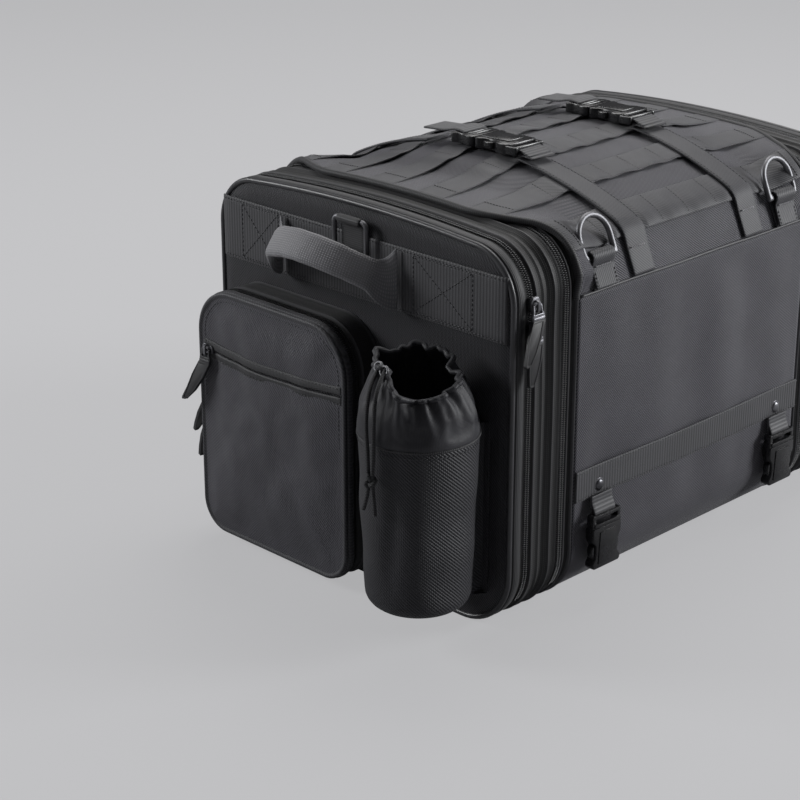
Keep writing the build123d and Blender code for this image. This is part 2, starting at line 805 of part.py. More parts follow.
def plug_blank():
    """Buckle plug that fits the socket from +Y: body outside, two springing arms and a guide inside."""
    middle = buckle_thickness / 2
    arm_width = socket_width / 5
    arm_length = socket_depth - 2
    arm_height = socket_height - 2 * plug_clearance
    arm_x = socket_width / 2 - plug_clearance - arm_width / 2
    tail_z = middle + buckle_thickness / 2 - 2 * webbing
    body_start = buckle_length + gap
    body_end = body_start + plug_body_length - gap
    with BuildPart() as plug:
        with Locations((0, (body_start + body_end) / 2, middle)):
            Box(buckle_width, body_end - body_start, buckle_thickness)
        fillet(plug.edges().filter_by(Axis.Z), buckle_width / 8)
        with Locations((-arm_x, body_start, middle), (0, body_start, middle), (arm_x, body_start, middle)):
            Box(arm_width, arm_length, arm_height, align=(Align.CENTER, Align.MAX, Align.CENTER))
        with Locations((0, body_end - bar_slot_in - bar_slot / 2, middle)):
            Box(strap_width + 1, bar_slot, 2 * buckle_thickness, mode=Mode.SUBTRACT)
        with Locations((0, body_end, tail_z)):
            Box(strap_width, tail_length, webbing, align=(Align.CENTER, Align.MIN, Align.MIN))
    return plug.part


def make_top_buckles():
    """Sockets and plugs of the two straps over the top."""
    start_y = buckle_y - (buckle_length + plug_body_length) / 2
    sockets = []
    for name, x in (("left", -cross_strap_x), ("right", cross_strap_x)):
        place = Location((x, start_y, buckle_low_z))
        sockets.append(place * socket_blank())
        save(place * plug_blank(), f"buckle_plug_{name}")
    with BuildPart() as pair:
        add(sockets)
    save(pair.part, "buckle_sockets")


def make_side_straps():
    """Webbing along both sides with the domed rivets that fix the hanging buckles."""
    strap_y = half_width + webbing / 2
    middle_z = side_strap_low + strap_width / 2
    rivet_y = half_width + webbing
    with BuildPart() as straps:
        with Locations((0, -strap_y, middle_z), (0, strap_y, middle_z)):
            Box(2 * shell_half, webbing, strap_width)
    rivets = []
    for x in (-d_ring_x, d_ring_x):
        with BuildPart() as rivet:
            with BuildSketch(Plane.XZ.offset(rivet_y)):
                with Locations((x, rivet_z)):
                    Circle(rivet_radius)
            extrude(amount=rivet_head)
            chamfer(rivet.faces().sort_by(Axis.Y)[0].edges(), rivet_head / 2)
        rivets += [rivet.part, rivet.part.rotate(Axis.Z, 180)]
    with BuildPart() as side_straps:
        add(straps.part)
        add(rivets)
    save(side_straps.part, "side_straps")


def make_hanging_buckles():
    """Four buckle sockets hanging on short webbing from the side straps."""
    pivot = (0, side - hang_pivot_off, hang_pivot_z)
    buckle_top = hang_pivot_z - hang_webbing_length
    drop = hang_webbing_length + hang_webbing_held
    down = Plane(origin=(0, side - buckle_off, buckle_top), x_dir=(-1, 0, 0), z_dir=(0, -1, 0))
    with BuildPart() as hanging:
        add(down.location * socket_blank())
        with Locations(pivot):
            Box(strap_width, webbing, drop, align=(Align.CENTER, Align.CENTER, Align.MAX))
        with Locations(Location(pivot, (0, 90, 0))):
            Cylinder(webbing / 2, strap_width)
    for end, x in (("left", -d_ring_x), ("right", d_ring_x)):
        save(Pos(x, 0, 0) * hanging.part, f"side_buckle_near_{end}")
        save((Pos(-x, 0, 0) * hanging.part).rotate(Axis.Z, 180), f"side_buckle_far_{end}")


# ---------------------------------------------------------------- D-rings
def d_outline(inset=0.0):
    """D shape of a ring on its bar, drawn in by an inset."""
    half = d_ring_width / 2 - inset
    low = d_ring_up - d_ring_wire + inset
    bend = d_ring_up - d_ring_wire + d_ring_height - d_ring_width / 2
    with BuildSketch(Plane.XY.offset(d_ring_off - d_ring_wire)) as outline:
        with BuildLine():
            Line((-half, low), (half, low))
            Line((half, low), (half, bend))
            ThreePointArc((half, bend), (0, bend + half), (-half, bend))
            Line((-half, bend), (-half, low))
        make_face()
    return outline.sketch


def make_d_rings():
    """Four D-rings in webbing tabs on the sloped shoulders: the near pair upright, the far pair hanging."""
    slope = Plane(
        origin=(0, side, seam_height),
        x_dir=(1, 0, 0),
        z_dir=(0, -slope_rise, shoulder_in),
    )
    tube = d_ring_wire + loop_clearance + webbing
    with BuildPart() as tab:
        with BuildSketch(Plane.YZ.offset(-strap_width / 2)):
            with Locations((d_ring_up, d_ring_off)):
                Circle(tube)
            with Locations((gap, tab_lift)):
                Rectangle(d_ring_up, webbing, align=(Align.MIN, Align.MIN))
            with Locations((d_ring_up, d_ring_off)):
                Circle(d_ring_wire + loop_clearance, mode=Mode.SUBTRACT)
        extrude(amount=strap_width)
    with BuildPart() as ring:
        extrude(d_outline() - d_outline(2 * d_ring_wire), amount=2 * d_ring_wire)
        fillet(ring.edges(), 0.95 * d_ring_wire)
    hanging = ring.part.rotate(Axis((0, d_ring_up, d_ring_off), (1, 0, 0)), 180)
    tabs = []
    for end, x in (("left", -d_ring_x), ("right", d_ring_x)):
        place = Pos(x, 0, 0) * slope.location
        far_place = Pos(-x, 0, 0) * slope.location
        tabs += [place * tab.part, (far_place * tab.part).rotate(Axis.Z, 180)]
        save(place * ring.part, f"d_ring_near_{end}")
        save((far_place * hanging).rotate(Axis.Z, 180), f"d_ring_far_{end}")
    with BuildPart() as d_ring_tabs:
        add(tabs)
    save(d_ring_tabs.part, "d_ring_tabs")


make_shell()
make_end_panel()
make_frame()
make_door_zips()
make_band()
make_ring()
make_handle()
make_pocket()
make_bottle_holder()
make_drawcord()
make_grid()
make_cross_straps()
make_top_buckles()
make_side_straps()
make_hanging_buckles()
make_d_rings()
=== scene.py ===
"""Looks of the motorcycle tail bag: sewn cloth, webbing, zips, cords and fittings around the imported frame.

Lengths in this script are millimetres until a mesh is made, which is in metres.
Each piece of an end is made at the -X end, and a half-turned copy goes to the +X end.
"""

import math

import bmesh
import bpy
import numpy as np
from mathutils import Matrix, Vector, noise


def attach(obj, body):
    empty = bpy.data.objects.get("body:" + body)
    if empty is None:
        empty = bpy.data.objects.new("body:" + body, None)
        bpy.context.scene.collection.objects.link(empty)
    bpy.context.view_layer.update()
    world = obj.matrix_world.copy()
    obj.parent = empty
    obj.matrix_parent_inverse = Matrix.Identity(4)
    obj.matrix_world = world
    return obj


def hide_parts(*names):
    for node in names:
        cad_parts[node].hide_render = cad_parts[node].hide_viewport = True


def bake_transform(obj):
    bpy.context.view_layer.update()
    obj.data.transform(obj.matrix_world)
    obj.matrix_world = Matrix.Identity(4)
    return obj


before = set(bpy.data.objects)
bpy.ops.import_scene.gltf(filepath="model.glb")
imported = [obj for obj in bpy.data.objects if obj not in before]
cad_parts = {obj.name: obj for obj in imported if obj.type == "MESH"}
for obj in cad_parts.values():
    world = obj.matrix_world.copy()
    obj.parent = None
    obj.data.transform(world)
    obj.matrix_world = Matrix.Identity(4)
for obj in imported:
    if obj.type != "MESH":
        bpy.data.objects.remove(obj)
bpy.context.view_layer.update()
MM = 0.001
ENDS = (("left", 0.0), ("right", math.pi))

# ---------------------------------------------------------------- sizes of the bag, in millimetres
# Body: its ends are at x = FACE and -FACE, its sides at y = -HALF_WIDTH and HALF_WIDTH.
FACE = -210.0
HALF_WIDTH = 157.5
INSIDE = (0.0, 0.0, 150.0)
BOTTOM_RADIUS = 48.0
SEAM_Z = 249.0
SHELL_HALF = 139.5
SHOULDER_IN = 15.0
SHOULDER_Z = 283.5
CROWN_Z = 317.0
END_DROP = 11.0
TAPER = 60.0
END_TOP = 302.0
END_ARCH = 5.0
END_CORNER = 42.0
PIPING_RADIUS = 2.2
ZIP_LOWEST = 20.0
# Webbing: the two straps over the top, the D-rings and hanging buckles beside them, and the end band.
STRAP_WIDTH = 25.0
CROSS_X = 68.0
RING_X = 112.0
BUCKLE_Y = -9.0
BAND_Z = 253.0
BAND_WIDTH = 50.0
# Pocket and bottle holder on an end panel.
POCKET_Y = 59.0
POCKET_HALF = 83.5
POCKET_LOW = 8.0
POCKET_TOP = 214.0
POCKET_FRONT = -247.0
CUP_X = -255.0
CUP_Y = -109.0
CUP_RIM = 165.0
CUP_RADIUS = 45.0
CUP_SEWN = 22.0


def put(name, data):
    """A new object in the scene for some data."""
    made = bpy.data.objects.new(name, data)
    bpy.context.scene.collection.objects.link(made)
    return made


# ---------------------------------------------------------------- camera
def make_camera():
    """A longish lens, a little above the bag, looking at the corner between one end and one side."""
    data = bpy.data.cameras.new("camera")
    data.lens = 95.6
    data.sensor_width = 36.0
    camera = put("camera", data)
    camera.location = (-1.2555, -1.0905, 0.740)
    camera.rotation_euler = (math.radians(68.5), 0.0, math.radians(-45.0))
    bpy.context.scene.camera = camera


make_camera()


# ---------------------------------------------------------------- materials
def linear(code):
    """An sRGB hex colour as the linear values that shaders take."""
    values = [int(code[i:i + 2], 16) / 255 for i in (1, 3, 5)]
    return [v / 12.92 if v <= 0.04045 else ((v + 0.055) / 1.055) ** 2.4 for v in values] + [1.0]


def add_node(tree, kind, settings=(), links=()):
    """Add a node with its settings, by property or by input, and its incoming links."""
    made = tree.nodes.new(kind)
    for key, value in dict(settings).items():
        if isinstance(key, str) and hasattr(made, key):
            setattr(made, key, value)
        else:
            made.inputs[key].default_value = value
    for key, source in dict(links).items():
        tree.links.new(source, made.inputs[key])
    return made


def blank(name, settings):
    """A new material with its Principled shader, whose plain values are set on the shader itself."""
    made = bpy.data.materials.new(name)
    made.use_nodes = True
    tree = made.node_tree
    shader = tree.nodes["Principled BSDF"]
    for key, value in settings.items():
        shader.inputs[key].default_value = value
    return made, tree, shader


def wave(tree, coordinates, direction, pitch):
    """Regular sine ridges; pitch in millimetres along one axis, or across the diagonal."""
    per_turn = 10.0 * math.sqrt(2.0) if direction == "DIAGONAL" else 20.0
    return add_node(
        tree,
        "ShaderNodeTexWave",
        {
            "wave_type": "BANDS",
            "bands_direction": direction,
            "wave_profile": "SIN",
            "Scale": 2 * math.pi / (per_turn * pitch * MM),
            "Distortion": 0.0,
        },
        {"Vector": coordinates},
    ).outputs["Fac"]


def mix_values(tree, operation, a, b):
    """One sum or product of two values, each a number or a socket."""
    made = add_node(tree, "ShaderNodeMath", {"operation": operation})
    for index, value in enumerate((a, b)):
        if isinstance(value, (int, float)):
            made.inputs[index].default_value = value
        else:
            tree.links.new(value, made.inputs[index])
    return made.outputs[0]


def blend_values(tree, a, a_share, b, b_share):
    """Two patterns added, each with its share."""
    return mix_values(tree, "ADD", mix_values(tree, "MULTIPLY", a, a_share),
                      mix_values(tree, "MULTIPLY", b, b_share))


def dress(tree, shader, pattern, tints, roughness, bump):
    """Give a shader its colour and roughness from one pattern, and its relief."""
    ramp = add_node(tree, "ShaderNodeValToRGB", links={"Fac": pattern})
    for element, (position, colour) in zip(ramp.color_ramp.elements, tints):
        element.position = position
        element.color = linear(colour)
    rough = add_node(tree, "ShaderNodeMapRange", {"To Min": roughness[0], "To Max": roughness[1]},
                     {"Value": pattern})
    tree.links.new(ramp.outputs["Color"], shader.inputs["Base Color"])
    tree.links.new(rough.outputs["Result"], shader.inputs["Roughness"])
    tree.links.new(bump.outputs["Normal"], shader.inputs["Normal"])


def fabric(name, dark, light, settings, pitch, kind, depth, patches=0.35, coordinates="UV", creases=0.0):
    """Woven cloth: thread pattern in colour and relief, with faint uneven patches and creases."""
    made, tree, shader = blank(name, settings)
    place = add_node(tree, "ShaderNodeTexCoord").outputs[coordinates]
    if kind == "ballistic":
        ridge = wave(tree, place, "DIAGONAL", pitch)
        cross = wave(tree, place, "X", pitch * 0.72)
        pattern = blend_values(tree, ridge, 0.75, cross, 0.25)
    elif kind == "ribbed":
        ridge = wave(tree, place, "Y", pitch)
        cross = wave(tree, place, "X", pitch * 0.45)
        pattern = blend_values(tree, ridge, 0.8, cross, 0.2)
    else:
        pattern = mix_values(tree, "MULTIPLY", wave(tree, place, "X", pitch), wave(tree, place, "Y", pitch))
    spot = add_node(tree, "ShaderNodeTexCoord").outputs["Object"]
    uneven = add_node(tree, "ShaderNodeTexNoise", {"Scale": 28.0, "Detail": 4.0, "Roughness": 0.6},
                      {"Vector": spot}).outputs["Fac"]
    share = blend_values(tree, pattern, 1.0 - patches, uneven, patches)
    bump = add_node(tree, "ShaderNodeBump", {"Strength": 1.0, "Distance": depth * MM}, {"Height": pattern})
    if creases:
        soft = add_node(tree, "ShaderNodeTexNoise",
                        {"Scale": 55.0, "Detail": 3.0, "Roughness": 0.5, "Distortion": 1.2},
                        {"Vector": spot}).outputs["Fac"]
        bump = add_node(tree, "ShaderNodeBump", {"Strength": 1.0, "Distance": creases * MM},
                        {"Height": soft, "Normal": bump.outputs["Normal"]})
    rough = settings["Roughness"]
    dress(tree, shader, share, ((0.12, dark), (0.88, light)), (rough + 0.08, rough - 0.08), bump)
    return made


def solid(name, colour, worn, settings, grain, depth, wear=0.25):
    """Moulded, painted or cast material: a fine grain in relief, and a worn tint that comes and goes."""
    made, tree, shader = blank(name, settings)
    place = add_node(tree, "ShaderNodeTexCoord").outputs["Object"]
    fine = add_node(tree, "ShaderNodeTexNoise", {"Scale": 1 / (grain * MM), "Detail": 3.0, "Roughness": 0.6},
                    {"Vector": place}).outputs["Fac"]
    broad = add_node(tree, "ShaderNodeTexNoise", {"Scale": 45.0, "Detail": 5.0, "Roughness": 0.7},
                     {"Vector": place}).outputs["Fac"]
    bump = add_node(tree, "ShaderNodeBump", {"Strength": 1.0, "Distance": depth * MM}, {"Height": fine})
    rough = settings["Roughness"]
    tints = ((1.0 - wear - 0.3, colour), (1.0 - wear + 0.15, worn))
    dress(tree, shader, broad, tints, (rough - 0.06, rough + 0.1), bump)
    return made


# 1680-denier ballistic nylon, coated inside: thick smooth yarns in a 2 x 2 basket weave, which reads as
# fine diagonal lines 1.9 mm apart with a dull shine on each yarn.
BALLISTIC = fabric("ballistic_nylon", "#131318", "#605f67",
                   {"Roughness": 0.56, "IOR": 1.53, "Sheen Weight": 0.12, "Sheen Roughness": 0.4},
                   1.9, "ballistic", 0.5, patches=0.25)
# The same cloth painted much darker for the end panel and the cup: painted shade, for the ends that face away
# from the lamps.
SHADED_BALLISTIC = fabric("shaded_ballistic_nylon", "#0b0b0e", "#34343a",
                        {"Roughness": 0.58, "IOR": 1.53, "Sheen Weight": 0.06, "Sheen Roughness": 0.4},
                        1.9, "ballistic", 0.5, patches=0.3)
# 420-denier packcloth of the gussets: finer plain weave, duller and darker than the outer cloth; part of that
# darkness is painted shade, of the end frame set back between the end panel and the top.
SHADED_GUSSET = fabric("shaded_packcloth_nylon", "#0b0b0d", "#1d1d20",
                {"Roughness": 0.62, "IOR": 1.53, "Sheen Weight": 0.1, "Sheen Roughness": 0.5},
                1.6, "plain", 0.12, creases=0.35)
# Heavy nylon webbing: flat yarns with ribs across it, a touch lighter and warmer than the cloth.
# The real ribs are about 1.5 mm apart; they are drawn 3 mm apart so that they show.
WEBBING = fabric("woven_webbing", "#2b2b2e", "#49494d",
                 {"Roughness": 0.6, "IOR": 1.53, "Sheen Weight": 0.15, "Sheen Roughness": 0.5},
                 3.0, "ribbed", 0.2)
# The same webbing where it lies on the top, worn flat: hardly any rib, the tone of the cloth under it.
WORN_WEBBING = fabric("worn_webbing", "#262629", "#4a4a4f",
                      {"Roughness": 0.58, "IOR": 1.53, "Sheen Weight": 0.12, "Sheen Roughness": 0.4},
                      1.9, "ballistic", 0.16)
# Webbing folded and stitched round the grip: pulled tight and handled smooth. Its colour is painted much paler
# than the other webbing: painted light, where the grip stands out into the lamps' light.
LIT_GRIP_WEBBING = fabric("lit_folded_webbing", "#737377", "#979699",
                      {"Roughness": 0.55, "IOR": 1.53, "Sheen Weight": 0.2, "Sheen Roughness": 0.4},
                      2.0, "plain", 0.25)
# Binding tape folded over raw edges: the same yarn, woven tight and dark.
BINDING = fabric("binding_tape", "#1a1a1c", "#37373a",
                 {"Roughness": 0.6, "IOR": 1.53, "Sheen Weight": 0.1, "Sheen Roughness": 0.5},
                 1.6, "ribbed", 0.12)
# Polyester zip tape, close herringbone that reads as fine plain cloth.
ZIP_TAPE = fabric("zip_tape", "#111113", "#28282b", {"Roughness": 0.66, "IOR": 1.53},
                  1.3, "plain", 0.1)
# Nylon taffeta of the drawstring hood: thin and smooth with a dull gleam, softly creased.
TAFFETA = fabric("nylon_taffeta", "#1c1c20", "#404046",
                 {"Roughness": 0.56, "IOR": 1.5, "Sheen Weight": 0.08, "Sheen Roughness": 0.3},
                 1.0, "plain", 0.04, patches=0.5, creases=0.5)
# Braided polyester cord, matt and knobbly; the braid is drawn at 1.4 mm.
CORD = fabric("braided_cord", "#141416", "#38383b", {"Roughness": 0.7, "IOR": 1.5},
              1.4, "ballistic", 0.3, coordinates="Object")
# Bonded nylon sewing thread: smooth, slightly lighter than the cloth it is sewn into.
THREAD = solid("bonded_thread", "#3a3a3d", "#55555a", {"Roughness": 0.5, "IOR": 1.53}, 0.6, 0.05)
# The same thread in grey, where bar tacks show.
TACK = solid("tack_thread", "#8f8e92", "#acabaf", {"Roughness": 0.5, "IOR": 1.53}, 0.6, 0.05)
# Extruded PVC piping: smooth and satin, so it carries one long bright line.
PIPING = solid("extruded_pvc", "#38383b", "#4a4a4d", {"Roughness": 0.36, "IOR": 1.53}, 1.2, 0.03)
# Woven seam tape of the side seam, paler than the cloth it closes.
SEAM_TAPE = solid("seam_tape", "#3a3a3d", "#4e4e52", {"Roughness": 0.5, "IOR": 1.53}, 1.0, 0.05)
# Nylon coil of a zip: drawn monofilament, satin.
COIL = solid("coil_nylon", "#222224", "#3a3a3d", {"Roughness": 0.38, "IOR": 1.53}, 0.8, 0.04)
# Injection-moulded acetal of the buckles: satin black with a faint moulded grain.
ACETAL = solid("moulded_acetal", "#1b1b1d", "#29292c", {"Roughness": 0.25, "IOR": 1.48}, 0.7, 0.04)
# Moulded rubbery PVC of the zip tabs: soft, dull and slightly grey.
RUBBER = solid("moulded_pvc", "#242426", "#3e3e41", {"Roughness": 0.45, "IOR": 1.53}, 0.9, 0.05)
# Die-cast zinc sliders, plated dark: grey metal worn bright on its ridges.
ZINC = solid("plated_zinc", "#5c5c60", "#919195", {"Roughness": 0.42, "Metallic": 1.0}, 1.0, 0.03, wear=0.4)
# Drawn steel wire with a satin nickel plating: pale, its highlights soft.
NICKEL = solid("plated_steel", "#727275", "#949497", {"Roughness": 0.5, "Metallic": 1.0}, 1.5, 0.02)
# Black-oxide brass of rivets and eyelets: dark metal, rubbed brighter on the dome.
OXIDE = solid("oxidised_brass", "#4c4c50", "#86868a", {"Roughness": 0.34, "Metallic": 1.0}, 1.0, 0.03,
              wear=0.4)
# Extruded polyethylene stiffener board inside the bottom: pale grey-black and waxy.
BOARD = solid("polyethylene_board", "#232325", "#2e2e30", {"Roughness": 0.5, "IOR": 1.51}, 2.0, 0.08)


# ---------------------------------------------------------------- mesh tools
def smoothstep(value, low, high):
    """0 below low, 1 above high, and smooth between them."""
    share = np.clip((np.asarray(value, float) - low) / (high - low), 0.0, 1.0)
    return share * share * (3 - 2 * share)


def unit(vectors):
    """Vectors at length 1."""
    vectors = np.asarray(vectors, float)
    return vectors / np.maximum(np.linalg.norm(vectors, axis=-1, keepdims=True), 1e-9)


def swell(points, size, seed):
    """Smooth random value from -1 to 1 at each point; size is the width of a swell in millimetres."""
    seed_step, full_range = 17.3, 1.6
    flat = np.asarray(points, float).reshape(-1, 3) / size + seed * seed_step
    values = [noise.noise(Vector(p)) for p in flat]
    return np.array(values).reshape(np.asarray(points).shape[:-1]) * full_range


def new_object(name, vertices, faces, materials, uvs=None, zones=None, smooth=True, centre=INSIDE):
    """A mesh object from millimetres, its faces turned away from a centre point."""
    mesh = bpy.data.meshes.new(name)
    mesh.from_pydata([tuple(v) for v in np.asarray(vertices, float) * MM], [], [tuple(f) for f in faces])
    for one in materials:
        mesh.materials.append(one)
    if uvs is not None:
        layer = mesh.uv_layers.new(name="UVMap")
        layer.data.foreach_set("uv", np.asarray(uvs, float).reshape(-1) * MM)
    if zones is not None:
        mesh.polygons.foreach_set("material_index", zones)
    mesh.polygons.foreach_set("use_smooth", [smooth] * len(mesh.polygons))
    mesh.update()
    made = put(name, mesh)
    middle = Vector(centre) * MM
    facing = sum(p.normal.dot(p.center - middle) * p.area for p in mesh.polygons)
    if facing < 0:
        mesh.flip_normals()
    return made


def skin(name, rows, materials, wrap_rows=False, wrap_columns=False, caps=False, zones=None, on_face=False,
         centre=INSIDE):
    """A mesh over rows of points. UVs follow the surface in millimetres, or lie flat as an end is seen."""
    rows = np.asarray(rows, float)
    count, width = rows.shape[:2]
    along = np.concatenate([[0], np.cumsum(np.linalg.norm(np.diff(rows, axis=0), axis=2).mean(axis=1))])
    closing = np.linalg.norm(rows[:, 0] - rows[:, -1], axis=1).mean()
    across = np.concatenate([[0], np.cumsum(np.linalg.norm(np.diff(rows, axis=1), axis=2).mean(axis=0)), [0]])
    across[-1] = across[-2] + closing
    along = np.concatenate([along, [along[-1] + np.linalg.norm(rows[0] - rows[-1], axis=1).mean()]])
    faces, uvs, marks = [], [], []
    for i in range(count if wrap_rows else count - 1):
        for j in range(width if wrap_columns else width - 1):
            i2, j2 = (i + 1) % count, (j + 1) % width
            corner = [(i, j), (i, j2), (i2, j2), (i2, j)]
            faces.append([a * width + b for a, b in corner])
            if not on_face:
                uvs += [(across[j], along[i]), (across[j + 1], along[i]),
                        (across[j + 1], along[i + 1]), (across[j], along[i + 1])]
            else:
                uvs += [(-rows[a, b][1], rows[a, b][2]) for a, b in corner]
            marks.append(0 if zones is None else zones[i])
    if caps:
        for i in (0, count - 1):
            order = range(width) if i else range(width - 1, -1, -1)
            faces.append([i * width + b for b in order])
            uvs += [(across[b], along[i]) for b in order]
            marks.append(0 if zones is None else zones[min(i, len(zones) - 1)])
    materials = materials if isinstance(materials, (list, tuple)) else [materials]
    made = new_object(name, rows.reshape(-1, 3), faces, materials, uvs, marks, centre=centre)
    if caps:
        tidy_normals(made)
    return made


def reshape(piece, change):
    """Run one change on a piece's mesh while it is open as a bmesh."""
    shape = bmesh.new()
    shape.from_mesh(piece.data)
    change(shape)
    shape.to_mesh(piece.data)
    shape.free()


def tidy_normals(piece):
    """Turn the faces of a closed piece outwards."""
    reshape(piece, lambda shape: bmesh.ops.recalc_face_normals(shape, faces=shape.faces))


def settle(piece):
    """Apply a piece's modifiers, so that it is one plain mesh."""
    bpy.context.view_layer.update()
    evaluated = piece.evaluated_get(bpy.context.evaluated_depsgraph_get())
    final = bpy.data.meshes.new_from_object(evaluated)
    piece.modifiers.clear()
    old = piece.data
    piece.data = final
    bpy.data.meshes.remove(old)
    return piece


def round_edges(piece, width, degrees):
    """Bevel the edges where a piece turns by more than an angle."""
    edge = piece.modifiers.new("edge", "BEVEL")
    edge.width = width * MM
    edge.segments = 2
    edge.limit_method = "ANGLE"
    edge.angle_limit = math.radians(degrees)


def thicken(piece, thickness, bevel=0.0):
    """Give a cloth its thickness, inwards, and round its cut edges."""
    wall = piece.modifiers.new("wall", "SOLIDIFY")
    wall.thickness = thickness * MM
    wall.offset = -1.0
    wall.use_even_offset = False
    if bevel:
        round_edges(piece, bevel, 50)
    settle(piece)


def move_to(piece, place):
    """Take a piece made at the origin to its place, a matrix in millimetres."""
    metres = place.copy()
    metres.translation = place.translation * MM
    piece.data.transform(metres)


def join(name, pieces):
    """Several pieces as one mesh."""
    shape = bmesh.new()
    materials = []
    for piece in pieces:
        for one in piece.data.materials:
            if one not in materials:
                materials.append(one)
    for piece in pieces:
        before = len(shape.faces)
        order = [materials.index(one) for one in piece.data.materials]
        shape.from_mesh(piece.data)
        shape.faces.ensure_lookup_table()
        for face in shape.faces[before:]:
            face.material_index = order[face.material_index] if order else 0
    mesh = bpy.data.meshes.new(name)
    shape.to_mesh(mesh)
    shape.free()
    for one in materials:
        mesh.materials.append(one)
    for piece in pieces:
        old = piece.data
        bpy.data.objects.remove(piece)
        bpy.data.meshes.remove(old)
    return put(name, mesh)


def half_turned(piece, name):
    """A copy of a piece turned half round about the bag's upright axis."""
    copy = piece.copy()
    copy.data = piece.data.copy()
    copy.name = name
    copy.data.transform(Matrix.Rotation(math.pi, 4, "Z"))
    bpy.context.scene.collection.objects.link(copy)
    return copy


def settle_on(piece, body, nodes=()):
    """Put a finished piece on its body, in place of its CAD nodes."""
    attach(piece, body)
    if nodes:
        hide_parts(*nodes)


def both_ends(piece):
    """A piece of the left end and its half-turned copy, each with its end and the sign the turn gives x and y."""
    right = half_turned(piece, piece.name + "_right")
    piece.name += "_left"
    return (piece, "left", 1), (right, "right", -1)


def to_ends(piece, body, nodes=()):
    """Put a piece on the left end's body, and a half-turned copy on the right end's."""
    for one, end, _ in both_ends(piece):
        settle_on(one, f"{body}_{end}", [f"{node}_{end}" for node in nodes])


def to_sides(piece, nodes=()):
    """Put a piece of the near side and its half-turned copy on the bag."""
    far = half_turned(piece, piece.name + "_far")
    piece.name += "_near"
    settle_on(piece, "bag", nodes)
    settle_on(far, "bag")


# ---------------------------------------------------------------- repeated small pieces
def repeat_tree():
    """Geometry nodes that put one small rounded bar on every point, long way along it, top outwards."""
    tree = bpy.data.node_groups.new("rounded_bars", "GeometryNodeTree")
    face = tree.interface
    face.new_socket("Geometry", in_out="INPUT", socket_type="NodeSocketGeometry")
    for name, default in (("Length", 0.002), ("Width", 0.001), ("Height", 0.001), ("Unevenness", 0.05)):
        face.new_socket(name, in_out="INPUT", socket_type="NodeSocketFloat").default_value = default
    face.new_socket("Seed", in_out="INPUT", socket_type="NodeSocketInt").default_value = 1
    face.new_socket("Material", in_out="INPUT", socket_type="NodeSocketMaterial")
    face.new_socket("Geometry", in_out="OUTPUT", socket_type="NodeSocketGeometry")
    given = add_node(tree, "NodeGroupInput").outputs
    along = add_node(tree, "GeometryNodeInputNamedAttribute",
                     {"data_type": "FLOAT_VECTOR", "Name": "along"}).outputs["Attribute"]
    outward = add_node(tree, "GeometryNodeInputNamedAttribute",
                       {"data_type": "FLOAT_VECTOR", "Name": "outward"}).outputs["Attribute"]
    first = add_node(tree, "FunctionNodeAlignRotationToVector", {"axis": "X"}, {"Vector": along})
    turn = add_node(tree, "FunctionNodeAlignRotationToVector", {"axis": "Z", "pivot_axis": "X"},
                    {"Rotation": first.outputs["Rotation"], "Vector": outward})
    bar = add_node(tree, "GeometryNodeMeshUVSphere", {"Segments": 6, "Rings": 4, "Radius": 0.5})
    size = add_node(tree, "ShaderNodeCombineXYZ",
                    links={"X": given["Length"], "Y": given["Width"], "Z": given["Height"]})
    low = add_node(tree, "ShaderNodeMath", {"operation": "SUBTRACT", 0: 1.0}, {1: given["Unevenness"]})
    high = add_node(tree, "ShaderNodeMath", {"operation": "ADD", 0: 1.0}, {1: given["Unevenness"]})
    vary = add_node(tree, "FunctionNodeRandomValue", {"data_type": "FLOAT"}, {"Seed": given["Seed"]})
    tree.links.new(low.outputs[0], vary.inputs[2])
    tree.links.new(high.outputs[0], vary.inputs[3])
    scale = add_node(tree, "ShaderNodeVectorMath", {"operation": "SCALE"},
                     {0: size.outputs[0], "Scale": vary.outputs[1]})
    placed = add_node(tree, "GeometryNodeInstanceOnPoints",
                      links={"Points": given["Geometry"], "Instance": bar.outputs["Mesh"],
                             "Rotation": turn.outputs["Rotation"], "Scale": scale.outputs["Vector"]})
    real = add_node(tree, "GeometryNodeRealizeInstances", links={"Geometry": placed.outputs["Instances"]})
    round_off = add_node(tree, "GeometryNodeSetShadeSmooth", links={"Geometry": real.outputs["Geometry"]})
    painted = add_node(tree, "GeometryNodeSetMaterial",
                       links={"Geometry": round_off.outputs["Geometry"], "Material": given["Material"]})
    add_node(tree, "NodeGroupOutput", links={"Geometry": painted.outputs["Geometry"]})
    return tree


REPEAT = repeat_tree()
REPEAT_INPUT = {item.name: item.identifier for item in REPEAT.interface.items_tree if item.in_out == "INPUT"}


def bars(name, sites, size, material):
    """Small rounded bars, one at each (point, along, outward), of (length, width, height) in millimetres."""
    points = np.array([s[0] for s in sites], float)
    mesh = bpy.data.meshes.new(name)
    mesh.from_pydata([tuple(p) for p in points * MM], [], [])
    for key, index in (("along", 1), ("outward", 2)):
        layer = mesh.attributes.new(key, "FLOAT_VECTOR", "POINT")
        layer.data.foreach_set("vector", unit([s[index] for s in sites]).reshape(-1))
    made = put(name, mesh)
    modifier = made.modifiers.new("repeats", "NODES")
    modifier.node_group = REPEAT
    for key, value in (("Length", size[0] * MM), ("Width", size[1] * MM), ("Height", size[2] * MM),
                       ("Unevenness", 0.05), ("Seed", 1), ("Material", material)):
        modifier[REPEAT_INPUT[key]] = value
    return settle(made)


def lengths(points):
    """How far along a polyline each of its points lies."""
    return np.concatenate([[0], np.cumsum(np.linalg.norm(np.diff(points, axis=0), axis=1))])


def read_off(values, length, at):
    """Rows of values known at some lengths, read off between them."""
    return np.column_stack([np.interp(at, length, column) for column in np.transpose(values)])


def evenly(points, count):
    """A polyline in even steps."""
    length = lengths(points)
    return read_off(points, length, np.linspace(0, length[-1], count))


